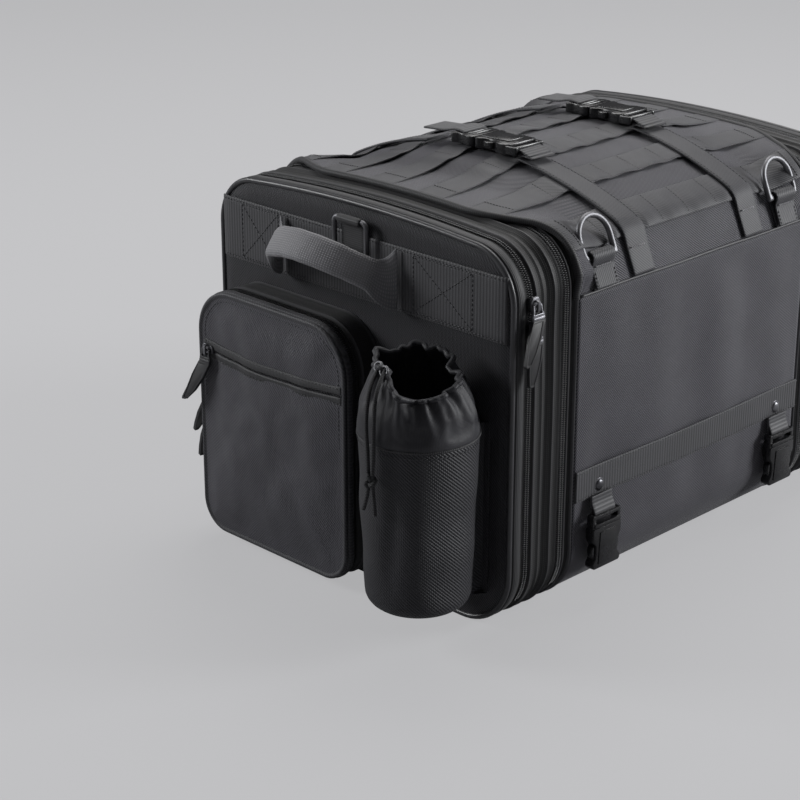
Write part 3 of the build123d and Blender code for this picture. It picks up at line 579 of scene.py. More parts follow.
def walk(points, pitch, start=0.0):
    """Points one pitch apart on a polyline, with the way it runs there."""
    points = np.asarray(points, float)
    length = lengths(points)
    at = np.arange(start, length[-1], pitch)
    ahead = read_off(points, length, np.minimum(at + 0.5, length[-1]))
    behind = read_off(points, length, np.maximum(at - 0.5, 0))
    return read_off(points, length, at), unit(ahead - behind)


def stitches(path, outward, pitch=3.6):
    """Sites for a row of stitches along a path; outward is one direction, or one for each path point."""
    placed, along = walk(path, pitch, pitch / 2)
    outward = np.asarray(outward, float)
    if outward.ndim == 1:
        facing = np.tile(outward, (len(placed), 1))
    else:
        facing = read_off(outward, lengths(path), pitch / 2 + pitch * np.arange(len(placed)))
    return list(zip(placed, along, facing))


STITCH = (2.6, 0.75, 0.6)


# ---------------------------------------------------------------- outlines across the bag
RING_SIDE = 30
RING_CORNER = 16


def rounded_ring(left, right, low, top, low_radius, high_radius, arch=0.0):
    """(y, z) points round an outline with four round corners; every call gives the same count."""
    corner_top = top - arch
    points = []

    def line(a, b):
        for k in range(RING_SIDE):
            points.append((a[0] + (b[0] - a[0]) * k / RING_SIDE, a[1] + (b[1] - a[1]) * k / RING_SIDE))

    def corner(centre, radius, start):
        for k in range(RING_CORNER):
            angle = math.radians(start + 90 * k / RING_CORNER)
            points.append((centre[0] + radius * math.cos(angle), centre[1] + radius * math.sin(angle)))

    line((left + low_radius, low), (right - low_radius, low))
    corner((right - low_radius, low + low_radius), low_radius, -90)
    line((right, low + low_radius), (right, corner_top - high_radius))
    corner((right - high_radius, corner_top - high_radius), high_radius, 0)
    half = (right - left) / 2 - high_radius
    middle = (left + right) / 2
    for k in range(RING_SIDE):
        y = half - 2 * half * k / RING_SIDE
        points.append((middle + y, corner_top + arch * (1 - (y / half) ** 2)))
    corner((left + high_radius, corner_top - high_radius), high_radius, 90)
    line((left, corner_top - high_radius), (left, low + low_radius))
    corner((left + low_radius, low + low_radius), low_radius, 180)
    return np.array(points)


def end_ring(inset):
    """Outline of an end face, drawn in by an inset."""
    return rounded_ring(-HALF_WIDTH + inset, HALF_WIDTH - inset, inset, END_TOP - inset,
                        BOTTOM_RADIUS - inset, END_CORNER - inset, END_ARCH)


def pocket_ring(inset):
    """Outline of the pocket on the end panel."""
    return rounded_ring(POCKET_Y - POCKET_HALF + inset, POCKET_Y + POCKET_HALF - inset, POCKET_LOW + inset,
                        POCKET_TOP - inset, 25 - inset, 38 - inset)


def ring_rows(ring, profile):
    """Rows of points that follow a ring outline along a profile of (x, inset)."""
    rows = []
    for x, inset in profile:
        outline = ring(inset)
        rows.append(np.column_stack([np.full(len(outline), x), outline]))
    return np.array(rows)


def ring_path(ring, x, inset, lowest):
    """The part of a ring above a height, as one open path over the top."""
    outline = ring(inset)
    start = int(np.argmin(outline[:, 1] + np.abs(outline[:, 0] - outline[:, 0].mean()) * 1e-6))
    order = [(start + k) % len(outline) for k in range(len(outline))]
    keep = [k for k in order if outline[k, 1] >= lowest]
    return np.column_stack([np.full(len(keep), x), outline[keep]])


def face_rows(ring, insets, x_at, centre):
    """Rows from a ring's edge in to its centre; x_at gives the depth for points (y, z) and their inset."""
    rows = []
    for inset in insets:
        outline = ring(inset)
        rows.append(np.column_stack([x_at(outline, inset), outline]))
    last = ring(insets[-1])
    middle = np.array(centre)
    for share in (0.82, 0.64, 0.46, 0.28, 0.1, 0.004):
        outline = middle + (last - middle) * share
        rows.append(np.column_stack([x_at(outline, insets[-1] + 40 * (1 - share)), outline]))
    return np.array(rows)


def strap(name, centres, across, outward, width, thickness, material, centre=INSIDE):
    """Flat webbing along a path, with rounded edges and its underside on the path."""
    centres = np.asarray(centres, float)
    across = unit(np.broadcast_to(np.asarray(across, float), centres.shape))
    outward = unit(np.broadcast_to(np.asarray(outward, float), centres.shape))
    half = width / 2
    side = min(thickness / 2, 0.9)
    flat = np.linspace(-half + side, half - side, 9)
    edge = [(half - side * 0.3, thickness * 0.85), (half, thickness * 0.5),
            (half - side * 0.3, thickness * 0.15)]
    section = np.array([(a, thickness) for a in flat] + edge + [(a, 0.0) for a in flat[::-1]]
                       + [(-a, b) for a, b in edge[::-1]])
    rows = [centre_point + np.outer(section[:, 0], way) + np.outer(section[:, 1], out)
            for centre_point, way, out in zip(centres, across, outward)]
    return skin(name, rows, material, wrap_columns=True, caps=True, centre=centre)


def rounded(points, step=1.5, passes=3):
    """A polyline with its corners cut round, in even steps."""
    points = np.asarray(points, float)
    for _ in range(passes):
        early = points[:-1] * 0.75 + points[1:] * 0.25
        late = points[:-1] * 0.25 + points[1:] * 0.75
        middle = np.stack([early, late], axis=1).reshape(-1, 3)
        points = np.vstack([points[:1], middle, points[-1:]])
    return np.vstack([walk(points, step)[0], points[-1:]])


def tube(name, path, radius, material, sides=8, closed=False, centre=INSIDE):
    """Round cord, wire or welt along a path; radius is one value or one for each point."""
    path = np.asarray(path, float)
    if closed:
        ahead = unit(np.roll(path, -1, axis=0) - np.roll(path, 1, axis=0))
    else:
        ahead = unit(np.gradient(path, axis=0))
    radius = np.broadcast_to(np.asarray(radius, float), len(path))
    any_way = np.array([0.31, 0.17, 0.93])
    first = unit(np.cross(ahead[0], any_way))
    angles = np.linspace(0, 2 * math.pi, sides, endpoint=False)
    rows = []
    for i, point in enumerate(path):
        first = unit(first - ahead[i] * first.dot(ahead[i]))
        second = np.cross(ahead[i], first)
        rows.append(point + radius[i] * (np.outer(np.cos(angles), first) + np.outer(np.sin(angles), second)))
    made = skin(name, rows, material, wrap_rows=closed, wrap_columns=True, caps=not closed, centre=centre)
    tidy_normals(made)
    return made


def slab(name, outline, low, high, material, place, bevel, hollow=None):
    """Flat moulded or cast piece from an outline in millimetres, with rounded edges, put in its place."""
    count = len(outline)
    vertices, faces = [], []
    if hollow is None:
        vertices = [(x, y, low) for x, y in outline] + [(x, y, high) for x, y in outline]
        faces = [list(range(count))[::-1], list(range(count, 2 * count))]
        faces += [[k, (k + 1) % count, count + (k + 1) % count, count + k] for k in range(count)]
    else:
        for loop, level in ((outline, low), (outline, high), (hollow, high), (hollow, low)):
            vertices += [(x, y, level) for x, y in loop]
        for part in range(4):
            for k in range(count):
                a, b = part * count + k, part * count + (k + 1) % count
                c = (part + 1) % 4 * count
                faces.append([a, b, c + (k + 1) % count, c + k])
    made = new_object(name, vertices, faces, [material], smooth=False)
    tidy_normals(made)
    round_edges(made, bevel, 35)
    settle(made)
    move_to(made, place)
    made.data.polygons.foreach_set("use_smooth", [True] * len(made.data.polygons))
    reshape(made, keep_sharp)
    return made


def keep_sharp(shape):
    """Keep the sharp edges of a moulded piece sharp."""
    for edge in shape.edges:
        edge.smooth = len(edge.link_faces) == 2 and edge.calc_face_angle(0.0) < math.radians(40)


def plane(origin, x_way, z_way):
    """Matrix of a plane in the row frame: where it is, its X direction and the way it faces."""
    z = Vector(z_way).normalized()
    x = Vector(x_way).normalized()
    y = z.cross(x)
    made = Matrix((x, y, z)).transposed().to_4x4()
    made.translation = Vector(origin)
    return made


def box_outline(width, height, round_off=0.0, x=0.0, y=0.0):
    """Rectangle, with its corners rounded if asked."""
    half_x, half_y = width / 2, height / 2
    if not round_off:
        return [(x + i * half_x, y + j * half_y) for i, j in ((-1, -1), (1, -1), (1, 1), (-1, 1))]
    points = []
    for cx, cy, start in ((1, 1, 0), (-1, 1, 90), (-1, -1, 180), (1, -1, 270)):
        for k in range(5):
            angle = math.radians(start + 22.5 * k)
            points.append((x + cx * (half_x - round_off) + round_off * math.cos(angle),
                           y + cy * (half_y - round_off) + round_off * math.sin(angle)))
    return points


# ---------------------------------------------------------------- drawcords
# Points of each strand: distance in front of the holder's axis as a share of its radius, then millimetres
# across and above the rim.
STRANDS = {
    "near": [
        (0.633, 4.5, 52.5), (0.844, 1.0, 47.0), (1.022, -2.0, 35.5), (1.102, -4.6, 17.5),
        (1.093, -3.8, -6.0), (1.107, -3.0, -24.0), (1.098, -4.2, -37.5), (1.124, -6.6, -49.0),
    ],
    "far": [
        (0.578, 12.0, 53.0), (0.778, 9.5, 48.0), (0.969, 6.5, 38.0), (1.098, 3.4, 20.0),
        (1.102, 1.6, -4.0), (1.107, 0.6, -24.0), (1.093, 2.0, -36.5), (1.116, 5.4, -47.5),
    ],
}


def by_holder(point):
    """Place of a drawcord point, given from the bottle holder's axis and rim."""
    share, across, above = point
    return (CUP_X - share * CUP_RADIUS, CUP_Y + across, CUP_RIM + above)


KNOT = by_holder((1.107, -1.2, -24.0))
CORD_RADIUS = 1.5


def make_cord(name, points):
    """One strand of the drawcord, a smooth line from its eyelet through the knot to its cut end."""
    data = bpy.data.curves.new(name, "CURVE")
    data.dimensions = "3D"
    data.resolution_u = 10
    data.bevel_depth = CORD_RADIUS * MM
    data.bevel_resolution = 3
    data.use_fill_caps = True
    line = data.splines.new("NURBS")
    line.points.add(len(points) - 1)
    for point, place in zip(line.points, points):
        point.co = (*[v * MM for v in place], 1.0)
    line.order_u = 3
    line.use_endpoint_u = True
    data.materials.append(CORD)
    return put(name, data)


def make_knot(name):
    """Overhand knot pulled tight round both strands."""
    angles = np.linspace(0, 2 * math.pi, 72, endpoint=False)
    x = np.sin(angles) + 1.9 * np.sin(2 * angles)
    y = np.cos(angles) - 1.9 * np.cos(2 * angles)
    z = -np.sin(3 * angles)
    path = np.column_stack([z * 1.6, y * 1.45, x * 1.9]) + np.array(KNOT)
    return tube(name, path, 1.6, CORD, closed=True, centre=KNOT)


def make_drawcords():
    """Two strands and their knot at each end."""
    for end, turn in ENDS:
        spin = Matrix.Rotation(turn, 4, "Z")
        knot = make_knot(f"drawcord_knot_{end}")
        knot.data.transform(spin)
        strands = []
        for key, points in STRANDS.items():
            turned = [tuple(spin @ Vector(by_holder(point))) for point in points]
            strands.append((make_cord(f"drawcord_{key}_{end}", turned), turned))
        for index, (strand, turned) in enumerate(strands):
            settle_on(strand, f"door_{end}", [f"drawcord_{end}"])
        settle_on(knot, f"door_{end}")


make_drawcords()


# ---------------------------------------------------------------- end frame, door panel and zips
def roughen(rows, amount, size, seed, weights=None):
    """Push rows of points in and out a little across the bag, as sewn cloth lies."""
    shift = swell(rows, size, seed) * amount
    if weights is not None:
        shift = shift * np.asarray(weights)[:, None]
    middle = np.array(INSIDE)
    way = rows - middle
    way[..., 0] = 0
    return rows + unit(way) * shift[..., None]


def make_end_frame():
    """Gusset between the door zip and the shell: webbing, fold, expansion zip and a welt at its back."""
    tape, cloth, edge, welt = range(4)
    profile = [
        (18.2, 7.0, tape), (18.2, 1.9, tape), (18.6, 1.6, tape), (22.7, 1.3, tape), (23.2, 0.1, edge),
        (23.7, -0.5, edge), (24.4, -0.1, cloth), (25.2, 0.4, cloth), (27.5, 0.7, cloth), (30.6, 0.4, cloth),
        (31.2, -0.3, edge), (31.8, 0.2, cloth), (33.0, 1.9, cloth), (36.8, 2.6, cloth), (38.4, 2.2, cloth),
        (39.4, 0.9, cloth), (42.2, 0.3, cloth), (42.6, -0.5, edge), (43.2, -0.8, edge), (43.8, -0.3, edge),
        (44.4, 0.9, cloth), (46.0, 2.1, cloth), (50.0, 2.2, cloth), (51.4, 1.1, tape), (52.2, 0.9, tape),
        (59.2, 0.9, tape), (59.7, 0.1, edge), (60.3, -0.5, edge), (60.9, 0.3, cloth), (62.3, 1.6, cloth),
        (64.3, 2.4, cloth), (65.0, 2.8, cloth), (66.0, 3.0, cloth), (66.8, 1.4, welt), (67.2, -0.1, welt),
        (67.9, -0.9, welt), (68.7, -0.5, welt), (69.2, 0.8, cloth), (69.8, 2.6, cloth), (70.0, 8.0, cloth),
        (50.0, 8.0, cloth), (30.0, 8.0, cloth),
    ]
    rows = ring_rows(end_ring, [(FACE + d, inset) for d, inset, _ in profile])
    weights = [1.0 if 24 < d < 66 and inset < 6 else 0.3 if inset < 6 else 0.0 for d, inset, _ in profile]
    rows = roughen(rows, 0.55, 75, 3, weights)
    # The gusset cloth carries painted shade of the set-back frame.
    made = skin("frame_gusset", rows, [ZIP_TAPE, SHADED_GUSSET, SEAM_TAPE, PIPING], wrap_rows=True,
                wrap_columns=True, zones=[zone for _, _, zone in profile], centre=(FACE + 40, 0, 150))
    tidy_normals(made)
    to_ends(made, "end_section", ["end_frame"])


def panel_x(outline, inset):
    """Depth of the padded end panel: drawn in at its seam, and faintly uneven."""
    points = np.column_stack([np.zeros(len(outline)), outline])
    seam = 1.7 * (1 - smoothstep(inset, 3.5, 12.0))
    return FACE + seam + 0.35 * swell(points, 60, 5) * smoothstep(inset, 4, 25)


def make_door():
    """Padded end panel with its rim, which the door zip runs round."""
    tape, web, cloth = range(3)
    profile = [
        (4.7, 7.0, web), (4.7, 2.4, web), (5.0, 1.0, web), (5.7, 0.3, web), (8.8, 0.0, web), (11.8, 0.2, web),
        (12.6, 0.7, web), (13.0, 1.5, tape), (17.3, 1.7, tape), (17.7, 2.1, tape), (17.7, 7.0, cloth),
        (11.0, 7.0, cloth),
    ]
    rows = ring_rows(end_ring, [(FACE + d, inset) for d, inset, _ in profile])
    rows = roughen(rows, 0.3, 75, 4, [1.0 if inset < 2 else 0.0 for _, inset, _ in profile])
    rim = skin("rim", rows, [ZIP_TAPE, BINDING, SHADED_GUSSET], wrap_rows=True, wrap_columns=True,
               zones=[zone for _, _, zone in profile], centre=(FACE + 11, 0, 150))
    tidy_normals(rim)
    insets = [3.4, 4.4, 5.6, 7.5, 10, 14, 19, 25, 32, 40]
    # The end panel's cloth is painted darker: painted shade.
    plate = skin("plate", face_rows(end_ring, insets, panel_x, (0, 151)), SHADED_BALLISTIC, wrap_columns=True,
                 on_face=True)
    reshape(plate, close_middle)
    thicken(plate, 4.5)
    made = join("door_panel", [plate, rim])
    to_ends(made, "door", ["end_panel"])


def close_middle(shape):
    """Close the small hole at the middle of a ringed face."""
    bmesh.ops.remove_doubles(shape, verts=shape.verts, dist=0.3 * MM)
    holes = [edge for edge in shape.edges if edge.is_boundary and edge.calc_length() < 1.2 * MM]
    if holes:
        bmesh.ops.contextual_create(shape, geom=holes)


TOOTH_PITCH = 1.7


def coil_sites(ring, x, inset, lowest, shift, middle):
    """Sites of one side's teeth of a zip round an outline, whose middle is at (y, z)."""
    placed, along = walk(ring_path(ring, x, inset, lowest), TOOTH_PITCH, shift)
    centre = np.array([x, *middle])
    sites = []
    for point, ahead in zip(placed, along):
        outward = np.cross(ahead, (1.0, 0.0, 0.0))
        if outward.dot(point - centre) < 0:
            outward = -outward
        sites.append((point, (1, 0, 0), outward))
    return sites


def frame_coil(name, depth, inset, shift, size):
    """One side's teeth of a zip round the end frame."""
    return bars(name, coil_sites(end_ring, FACE + depth, inset, ZIP_LOWEST, shift, INSIDE[1:]), size, COIL)


def make_coils():
    """Interlocked nylon teeth of the door zip and the expansion zip."""
    door_row = frame_coil("door_coil", 16.7, 0.9, 0.0, (2.9, 1.15, 1.6))
    frame_row = frame_coil("frame_coil", 19.4, 0.9, TOOTH_PITCH / 2, (2.9, 1.15, 1.6))
    near_row = frame_coil("near", 54.4, 0.4, 0.0, (3.4, 1.15, 1.7))
    far_row = frame_coil("far", 57.2, 0.4, TOOTH_PITCH / 2, (3.4, 1.15, 1.7))
    to_ends(door_row, "door")
    to_ends(frame_row, "end_section")
    to_ends(join("expansion_coil", [near_row, far_row]), "end_section")


def make_sleeve():
    """Thin expansion sleeve, folded small inside the shell as the real one is until the end section is pulled
    out; here it is made folded and goes with the end section.
    """
    rows = []
    for x in np.arange(-139.2, -39.8, 3.3):
        path = shell_path(END_DROP, 5.0 + 0.35 * (1 + math.sin(x * 0.6)))
        rows.append(np.column_stack([np.full(len(path), x), path]))
    rows = roughen(np.array(rows), 0.25, 30, 9)
    made = skin("sleeve_cloth", rows, SHADED_GUSSET, wrap_columns=True)
    thicken(made, 1.2)
    to_ends(made, "end_section", ["expansion_sleeve"])


# ---------------------------------------------------------------- shell
TOP_COLUMNS = 97
TOP_STEPS = 22


def top_line(drop, count=TOP_COLUMNS):
    """(y, z) points over the top from the near seam to the far one, its shoulders worn soft."""
    half = HALF_WIDTH - SHOULDER_IN
    shoulder = SHOULDER_Z - drop / 2
    crown = CROWN_Z - drop
    rise = crown - shoulder
    radius = (half ** 2 + rise ** 2) / (2 * rise)
    slope = np.array([(-HALF_WIDTH + SHOULDER_IN * t, SEAM_Z + (shoulder - SEAM_Z) * t)
                      for t in np.linspace(0, 1, 16, endpoint=False)])
    ys = np.linspace(-half, half, 120)
    bow = np.column_stack([ys, crown - radius + np.sqrt(radius ** 2 - ys ** 2)])
    points = evenly(np.vstack([slope, bow, slope[::-1] * [-1, 1]]), count)
    for _ in range(4):
        points[1:-1] = points[1:-1] * 0.5 + (points[:-2] + points[2:]) * 0.25
    return points


def shell_path(drop, inset):
    """(y, z) points all round the body, drawn in by an inset."""
    top = top_line(drop, 61)
    middle = np.array(INSIDE[1:])
    side = np.array([(HALF_WIDTH, z) for z in np.linspace(SEAM_Z - 12, BOTTOM_RADIUS + 12, 14)])
    low = np.array([(HALF_WIDTH - BOTTOM_RADIUS + BOTTOM_RADIUS * math.cos(math.radians(7.5 * k)),
                     BOTTOM_RADIUS - BOTTOM_RADIUS * math.sin(math.radians(7.5 * k))) for k in range(13)])
    flat = HALF_WIDTH - BOTTOM_RADIUS - 14
    floor = [(y, 0.0) for y in np.linspace(flat, -flat, 14)]
    points = np.vstack([top, side, low, floor, low[::-1] * [-1, 1], side[::-1] * [-1, 1]])
    shrink = np.array([(HALF_WIDTH - inset) / HALF_WIDTH, (158 - inset) / 158])
    return middle + (points - middle) * shrink


def end_line():
    """(y, z) points over an end frame, a little above it, from the near seam to the far one."""
    points = ring_path(end_ring, 0.0, -3.8, SEAM_Z)[:, 1:]
    if points[0, 0] > 0:
        points = points[::-1]
    return evenly(points, TOP_COLUMNS)


END_LINE = end_line()
# The top's line at each step of its drop towards an end.
TOP_LINES = [top_line(drop) for drop in np.linspace(0, END_DROP, TOP_STEPS + 1)]


def top_step(x):
    """Where a place along the bag lies among the steps of the top's lines."""
    drop = END_DROP * float(np.clip((abs(x) - (SHELL_HALF - TAPER)) / TAPER, 0, 1))
    return drop / END_DROP * TOP_STEPS


def top_points(x, s, lift=0.0):
    """Points over the top at a place along the bag; s runs from 0 at the near seam to 1 at the far one."""
    index = top_step(x)
    low, high = TOP_LINES[int(index)], TOP_LINES[min(int(index) + 1, TOP_STEPS)]
    line = low + (high - low) * (index - int(index))
    closing = float(smoothstep(abs(x), 104, 137)) * smoothstep(line[:, 1], SEAM_Z, SEAM_Z + 10)
    line = line + (END_LINE - line) * closing[:, None]
    share = np.linspace(0, 1, len(line))
    way = unit(np.gradient(line, axis=0))
    s = np.clip(np.asarray(s, float), 0, 1)
    lift = np.broadcast_to(np.asarray(lift, float), s.shape)
    y = np.interp(s, share, line[:, 0])
    z = np.interp(s, share, line[:, 1])
    way_y = np.interp(s, share, way[:, 0])
    way_z = np.interp(s, share, way[:, 1])
    flat = np.column_stack([np.full(len(s), x), y, z])
    sag = 0.9 * swell(flat * [1, 1, 0], 70, 11) * smoothstep(SHELL_HALF - abs(x), 2, 25)
    y = y - way_z * (lift + sag)
    out = math.copysign(1, x) * overhang(y) * float(smoothstep(abs(x) / SHELL_HALF, 0.84, 1.0))
    return np.column_stack([x + out, y, z + way_y * (lift + sag)])


def s_of_y(x, y):
    """Where across the top line a given y lies."""
    line = TOP_LINES[int(round(top_step(x)))]
    return np.interp(y, line[:, 0], np.linspace(0, 1, len(line)))


def overhang(y):
    """How far the top panel's end stands out over the expansion zip."""
    return 3.0 + 27.0 * (1 - smoothstep(np.abs(y), 70, 150))


def top_grid():
    """Rows of the top panel from one overhanging end to the other."""
    shares = np.linspace(0, 1, 121)
    places = np.concatenate([np.linspace(-1, -0.86, 9), np.linspace(-0.8, 0.8, 41), np.linspace(0.86, 1, 9)])
    return np.array([top_points(place * SHELL_HALF, shares) for place in places])


def make_top():
    """Top panel with bound ends that stand a little over the end frames."""
    grid = top_grid()
    panel = skin("top_cloth", grid, BALLISTIC)
    thicken(panel, 3.0, bevel=0.5)
    settle_on(panel, "bag", ["top_panel"])
    binding = tube("top_binding", grid[0] + np.array([-0.6, 0, -1.0]), 2.6, BINDING, sides=10)
    for piece, _, _ in both_ends(binding):
        settle_on(piece, "bag")


def make_shell_cloth():
    """Sides and bottom in one sheet, a little slack between the top seam and the floor."""
    side = [(-HALF_WIDTH, z) for z in np.linspace(SEAM_Z, BOTTOM_RADIUS, 42)]
    low = [(-HALF_WIDTH + BOTTOM_RADIUS - BOTTOM_RADIUS * math.cos(a),
            BOTTOM_RADIUS - BOTTOM_RADIUS * math.sin(a)) for a in np.linspace(0, math.pi / 2, 15)[1:]]
    floor = [(y, 0.0) for y in np.linspace(-HALF_WIDTH + BOTTOM_RADIUS, HALF_WIDTH - BOTTOM_RADIUS, 30)[1:-1]]
    line = np.array(side + low + floor + [(-y, z) for y, z in low[::-1]] + [(-y, z) for y, z in side[::-1]])
    rows = []
    for x in np.linspace(-SHELL_HALF, SHELL_HALF, 101):
        points = np.column_stack([np.full(len(line), x), line])
        free = (smoothstep(SEAM_Z - line[:, 1], 0, 30) * smoothstep(line[:, 1], 20, 70)
                * smoothstep(SHELL_HALF - abs(x), 0, 22))
        waves = 2.0 * swell(points * [1.0, 1.0, 0.25], 40, 21) + 0.9 * swell(points, 90, 23)
        up = np.clip((line[:, 1] - 30) / (SEAM_Z - 30), 0, 1)
        bulge = 1.2 * np.sin(math.pi * up) * math.cos(math.pi * x / 2 / SHELL_HALF)
        points[:, 1] += np.sign(points[:, 1]) * ((waves + bulge) * free)
        rows.append(points)
    made = skin("shell_cloth", rows, BALLISTIC)
    thicken(made, 3.0)
    settle_on(made, "bag", ["near_side_panel", "far_side_panel", "bottom_panel"])
    xs = np.linspace(-SHELL_HALF + 0.5, SHELL_HALF - 0.5, 90)
    seam = np.column_stack([xs, np.full(90, -HALF_WIDTH - 0.7), SEAM_Z + 0.3 + 0.25 * np.sin(xs / 17)])
    to_sides(tube("seam_welt", seam, 1.2, SEAM_TAPE))


# ---------------------------------------------------------------- webbing over the top
TACK_ROWS = (-131.0, -97.0, -30.0, 2.0, 36.0, 97.0, 131.0)
GRID_STRIPS = 6
GRID_FIRST = -132.0
GRID_PITCH = 50.0


def make_grid():
    """Six strips along the bag, tacked down at intervals and standing up a little between them."""
    xs = np.linspace(-SHELL_HALF + 0.5, SHELL_HALF - 0.5, 140)
    a = np.array([-12.5, -12.3, -11.5, -8, -4, 0, 4, 8, 11.5, 12.3, 12.5])
    up = np.array([0.75, 1.3, 1.55, 1.6, 1.6, 1.6, 1.6, 1.6, 1.55, 1.3, 0.75])
    strips, threads = [], []
    for number in range(GRID_STRIPS):
        y = GRID_FIRST + GRID_PITCH * number
        rows = []
        for x in xs:
            near = min(abs(x - tack) for tack in TACK_ROWS)
            bow = 1.3 * float(smoothstep(near, 1.5, 13)) * (1.0 if abs(abs(x) - CROSS_X) > 16 else 0.2)
            held = float(smoothstep(SHELL_HALF - abs(x), 0.0, 12.0))
            tilt = (0.3 + bow) * (1.1 - 0.9 * (a + STRAP_WIDTH / 2) / STRAP_WIDTH) * held - 1.2 * (1 - held)
            s = np.concatenate([s_of_y(x, y + a), s_of_y(x, y + a[1:-1][::-1])])
            lift = np.concatenate([up + tilt, 0.1 + tilt[1:-1][::-1]])
            rows.append(top_points(x, s, lift))
        strips.append(skin(f"strip{number}", rows, WORN_WEBBING, wrap_columns=True, caps=True))
        for tack in TACK_ROWS:
            line = top_points(tack, s_of_y(tack, y + np.linspace(-11.5, 11.5, 24)), 1.75)
            threads += stitches(line, (0, 0, 1), 2.6)
    grid = join("grid_strips", strips)
    settle_on(grid, "bag", ["grid_webbing"])
    tacks = bars("grid_tacks", threads, (2.0, 0.8, 0.6), BINDING)
    settle_on(tacks, "bag")


def strap_tilt(offset):
    """How much higher a strap over the top stands at a place across it than at its lower edge."""
    return 0.6 * (STRAP_WIDTH / 2 - offset) / STRAP_WIDTH


def make_cross_straps():
    """Two straps from seam to seam over the grid, each parted at its buckle, bar-tacked near the seam."""
    a = np.array([-12.5, -12.2, -11.4, -8, -4, 0, 4, 8, 11.4, 12.2, 12.5])
    up = np.array([0.9, 1.5, 1.75, 1.8, 1.8, 1.8, 1.8, 1.8, 1.75, 1.5, 0.9])
    section = list(zip(a, up)) + [(offset, 0.0) for offset in a[-2:0:-1]]
    pieces, tacks, threads = [], [], []
    for x in (-CROSS_X, CROSS_X):
        near_end = s_of_y(x, BUCKLE_Y - 33.0)
        far_start = s_of_y(x, BUCKLE_Y + 62.0)
        for s0, s1 in ((0.004, near_end), (far_start, 0.996)):
            rows = []
            for s in np.linspace(s0, s1, 70):
                stand = 0.7 + 1.2 * float(smoothstep(min(s, 1 - s), 0.05, 0.1))
                rows.append([top_points(x + offset, np.array([s]), stand + strap_tilt(offset) + thick)[0]
                             for offset, thick in section])
            pieces.append(skin("part", rows, WORN_WEBBING, wrap_columns=True, caps=True))
        for s in (0.06, 0.94):
            line = np.vstack([top_points(x + offset, np.array([s]), 4.6) for offset in np.linspace(-10, 6, 14)])
            normal = (0, -0.92 if s < 0.5 else 0.92, 0.4)
            tacks += stitches(line, normal, 1.9)
        for offset in (-10.8, 10.8):
            for s0, s1 in ((0.11, near_end - 0.03), (far_start + 0.03, 0.89)):
                lift = 3.75 + strap_tilt(offset)
                line = np.vstack([top_points(x + offset, np.array([s]), lift) for s in np.linspace(s0, s1, 60)])
                threads += stitches(line, (0, 0, 1), 3.4)
    settle_on(join("cross_webbing", pieces), "bag", ["cross_straps"])
    settle_on(bars("cross_strap_tacks", tacks, (2.0, 1.5, 1.2), TACK), "bag")
    settle_on(bars("cross_strap_seams", threads, STITCH, THREAD), "bag")


# ---------------------------------------------------------------- buckles, rings and side straps
def socket_outline():
    """Side-release socket from above: ladder rails, waisted sides where the arms show, rounded mouth."""
    half = [(16.0, 10.0), (16.0, 19.0), (14.6, 22.0), (12.6, 25.0), (12.2, 31.0), (13.0, 35.5), (15.6, 39.0),
            (15.8, 42.0), (14.2, 44.0)]
    return half + [(-x, y) for x, y in half[::-1]]


def buckle_parts(place, plug=False):
    """Pieces of one half of a side-release buckle, lying on Z=0 of a place."""
    parts = []
    if not plug:
        body = socket_outline()
        parts.append(slab("body", body, 0.6, 9.4, ACETAL, place, 1.1))
        parts.append(slab("panel", [(-9, 14), (9, 14), (10.5, 40), (-10.5, 40)], 9.0, 10.3, ACETAL, place, 0.5))
        for x in (-14.2, 14.2):
            parts.append(slab("rail", box_outline(3.6, 12.0, 1.2, x, 5.6), 1.6, 8.4, ACETAL, place, 0.8))
        for y, high in ((1.6, 8.6), (8.2, 9.8)):
            parts.append(slab("bar", box_outline(30.0, 3.3, 0.0, 0.0, y), 2.4, high, ACETAL, place, 1.1))
        for x in (-1, 1):
            arm = [(x * 12.6, 24.5), (x * 15.2, 26.0), (x * 15.8, 30.0), (x * 14.8, 34.5), (x * 12.8, 36.0)]
            parts.append(slab("arm", arm[::x], 2.4, 7.6, ACETAL, place, 0.7))
    else:
        half = [(16.0, 46.5), (16.0, 53.0), (14.2, 56.5), (14.4, 62.0), (16.0, 66.0), (15.6, 68.3)]
        body = [(14.6, 44.4)] + half
        body = body + [(-x, y) for x, y in body[::-1]]
        parts.append(slab("body", body, 0.8, 9.2, ACETAL, place, 1.1))
        parts.append(slab("ridge", box_outline(22.0, 2.0, 0.0, 0.0, 50.0), 8.8, 10.0, ACETAL, place, 0.6))
        parts.append(slab("ridge", box_outline(22.0, 2.0, 0.0, 0.0, 54.0), 8.8, 10.0, ACETAL, place, 0.6))
        for x in (-1, 1):
            arm = [(x * 7.0, 44.6), (x * 10.6, 44.6), (x * 10.4, 30.0), (x * 8.4, 24.0), (x * 6.4, 25.0)]
            parts.append(slab("arm", arm[::x], 2.6, 7.4, ACETAL, place, 0.6))
    return parts


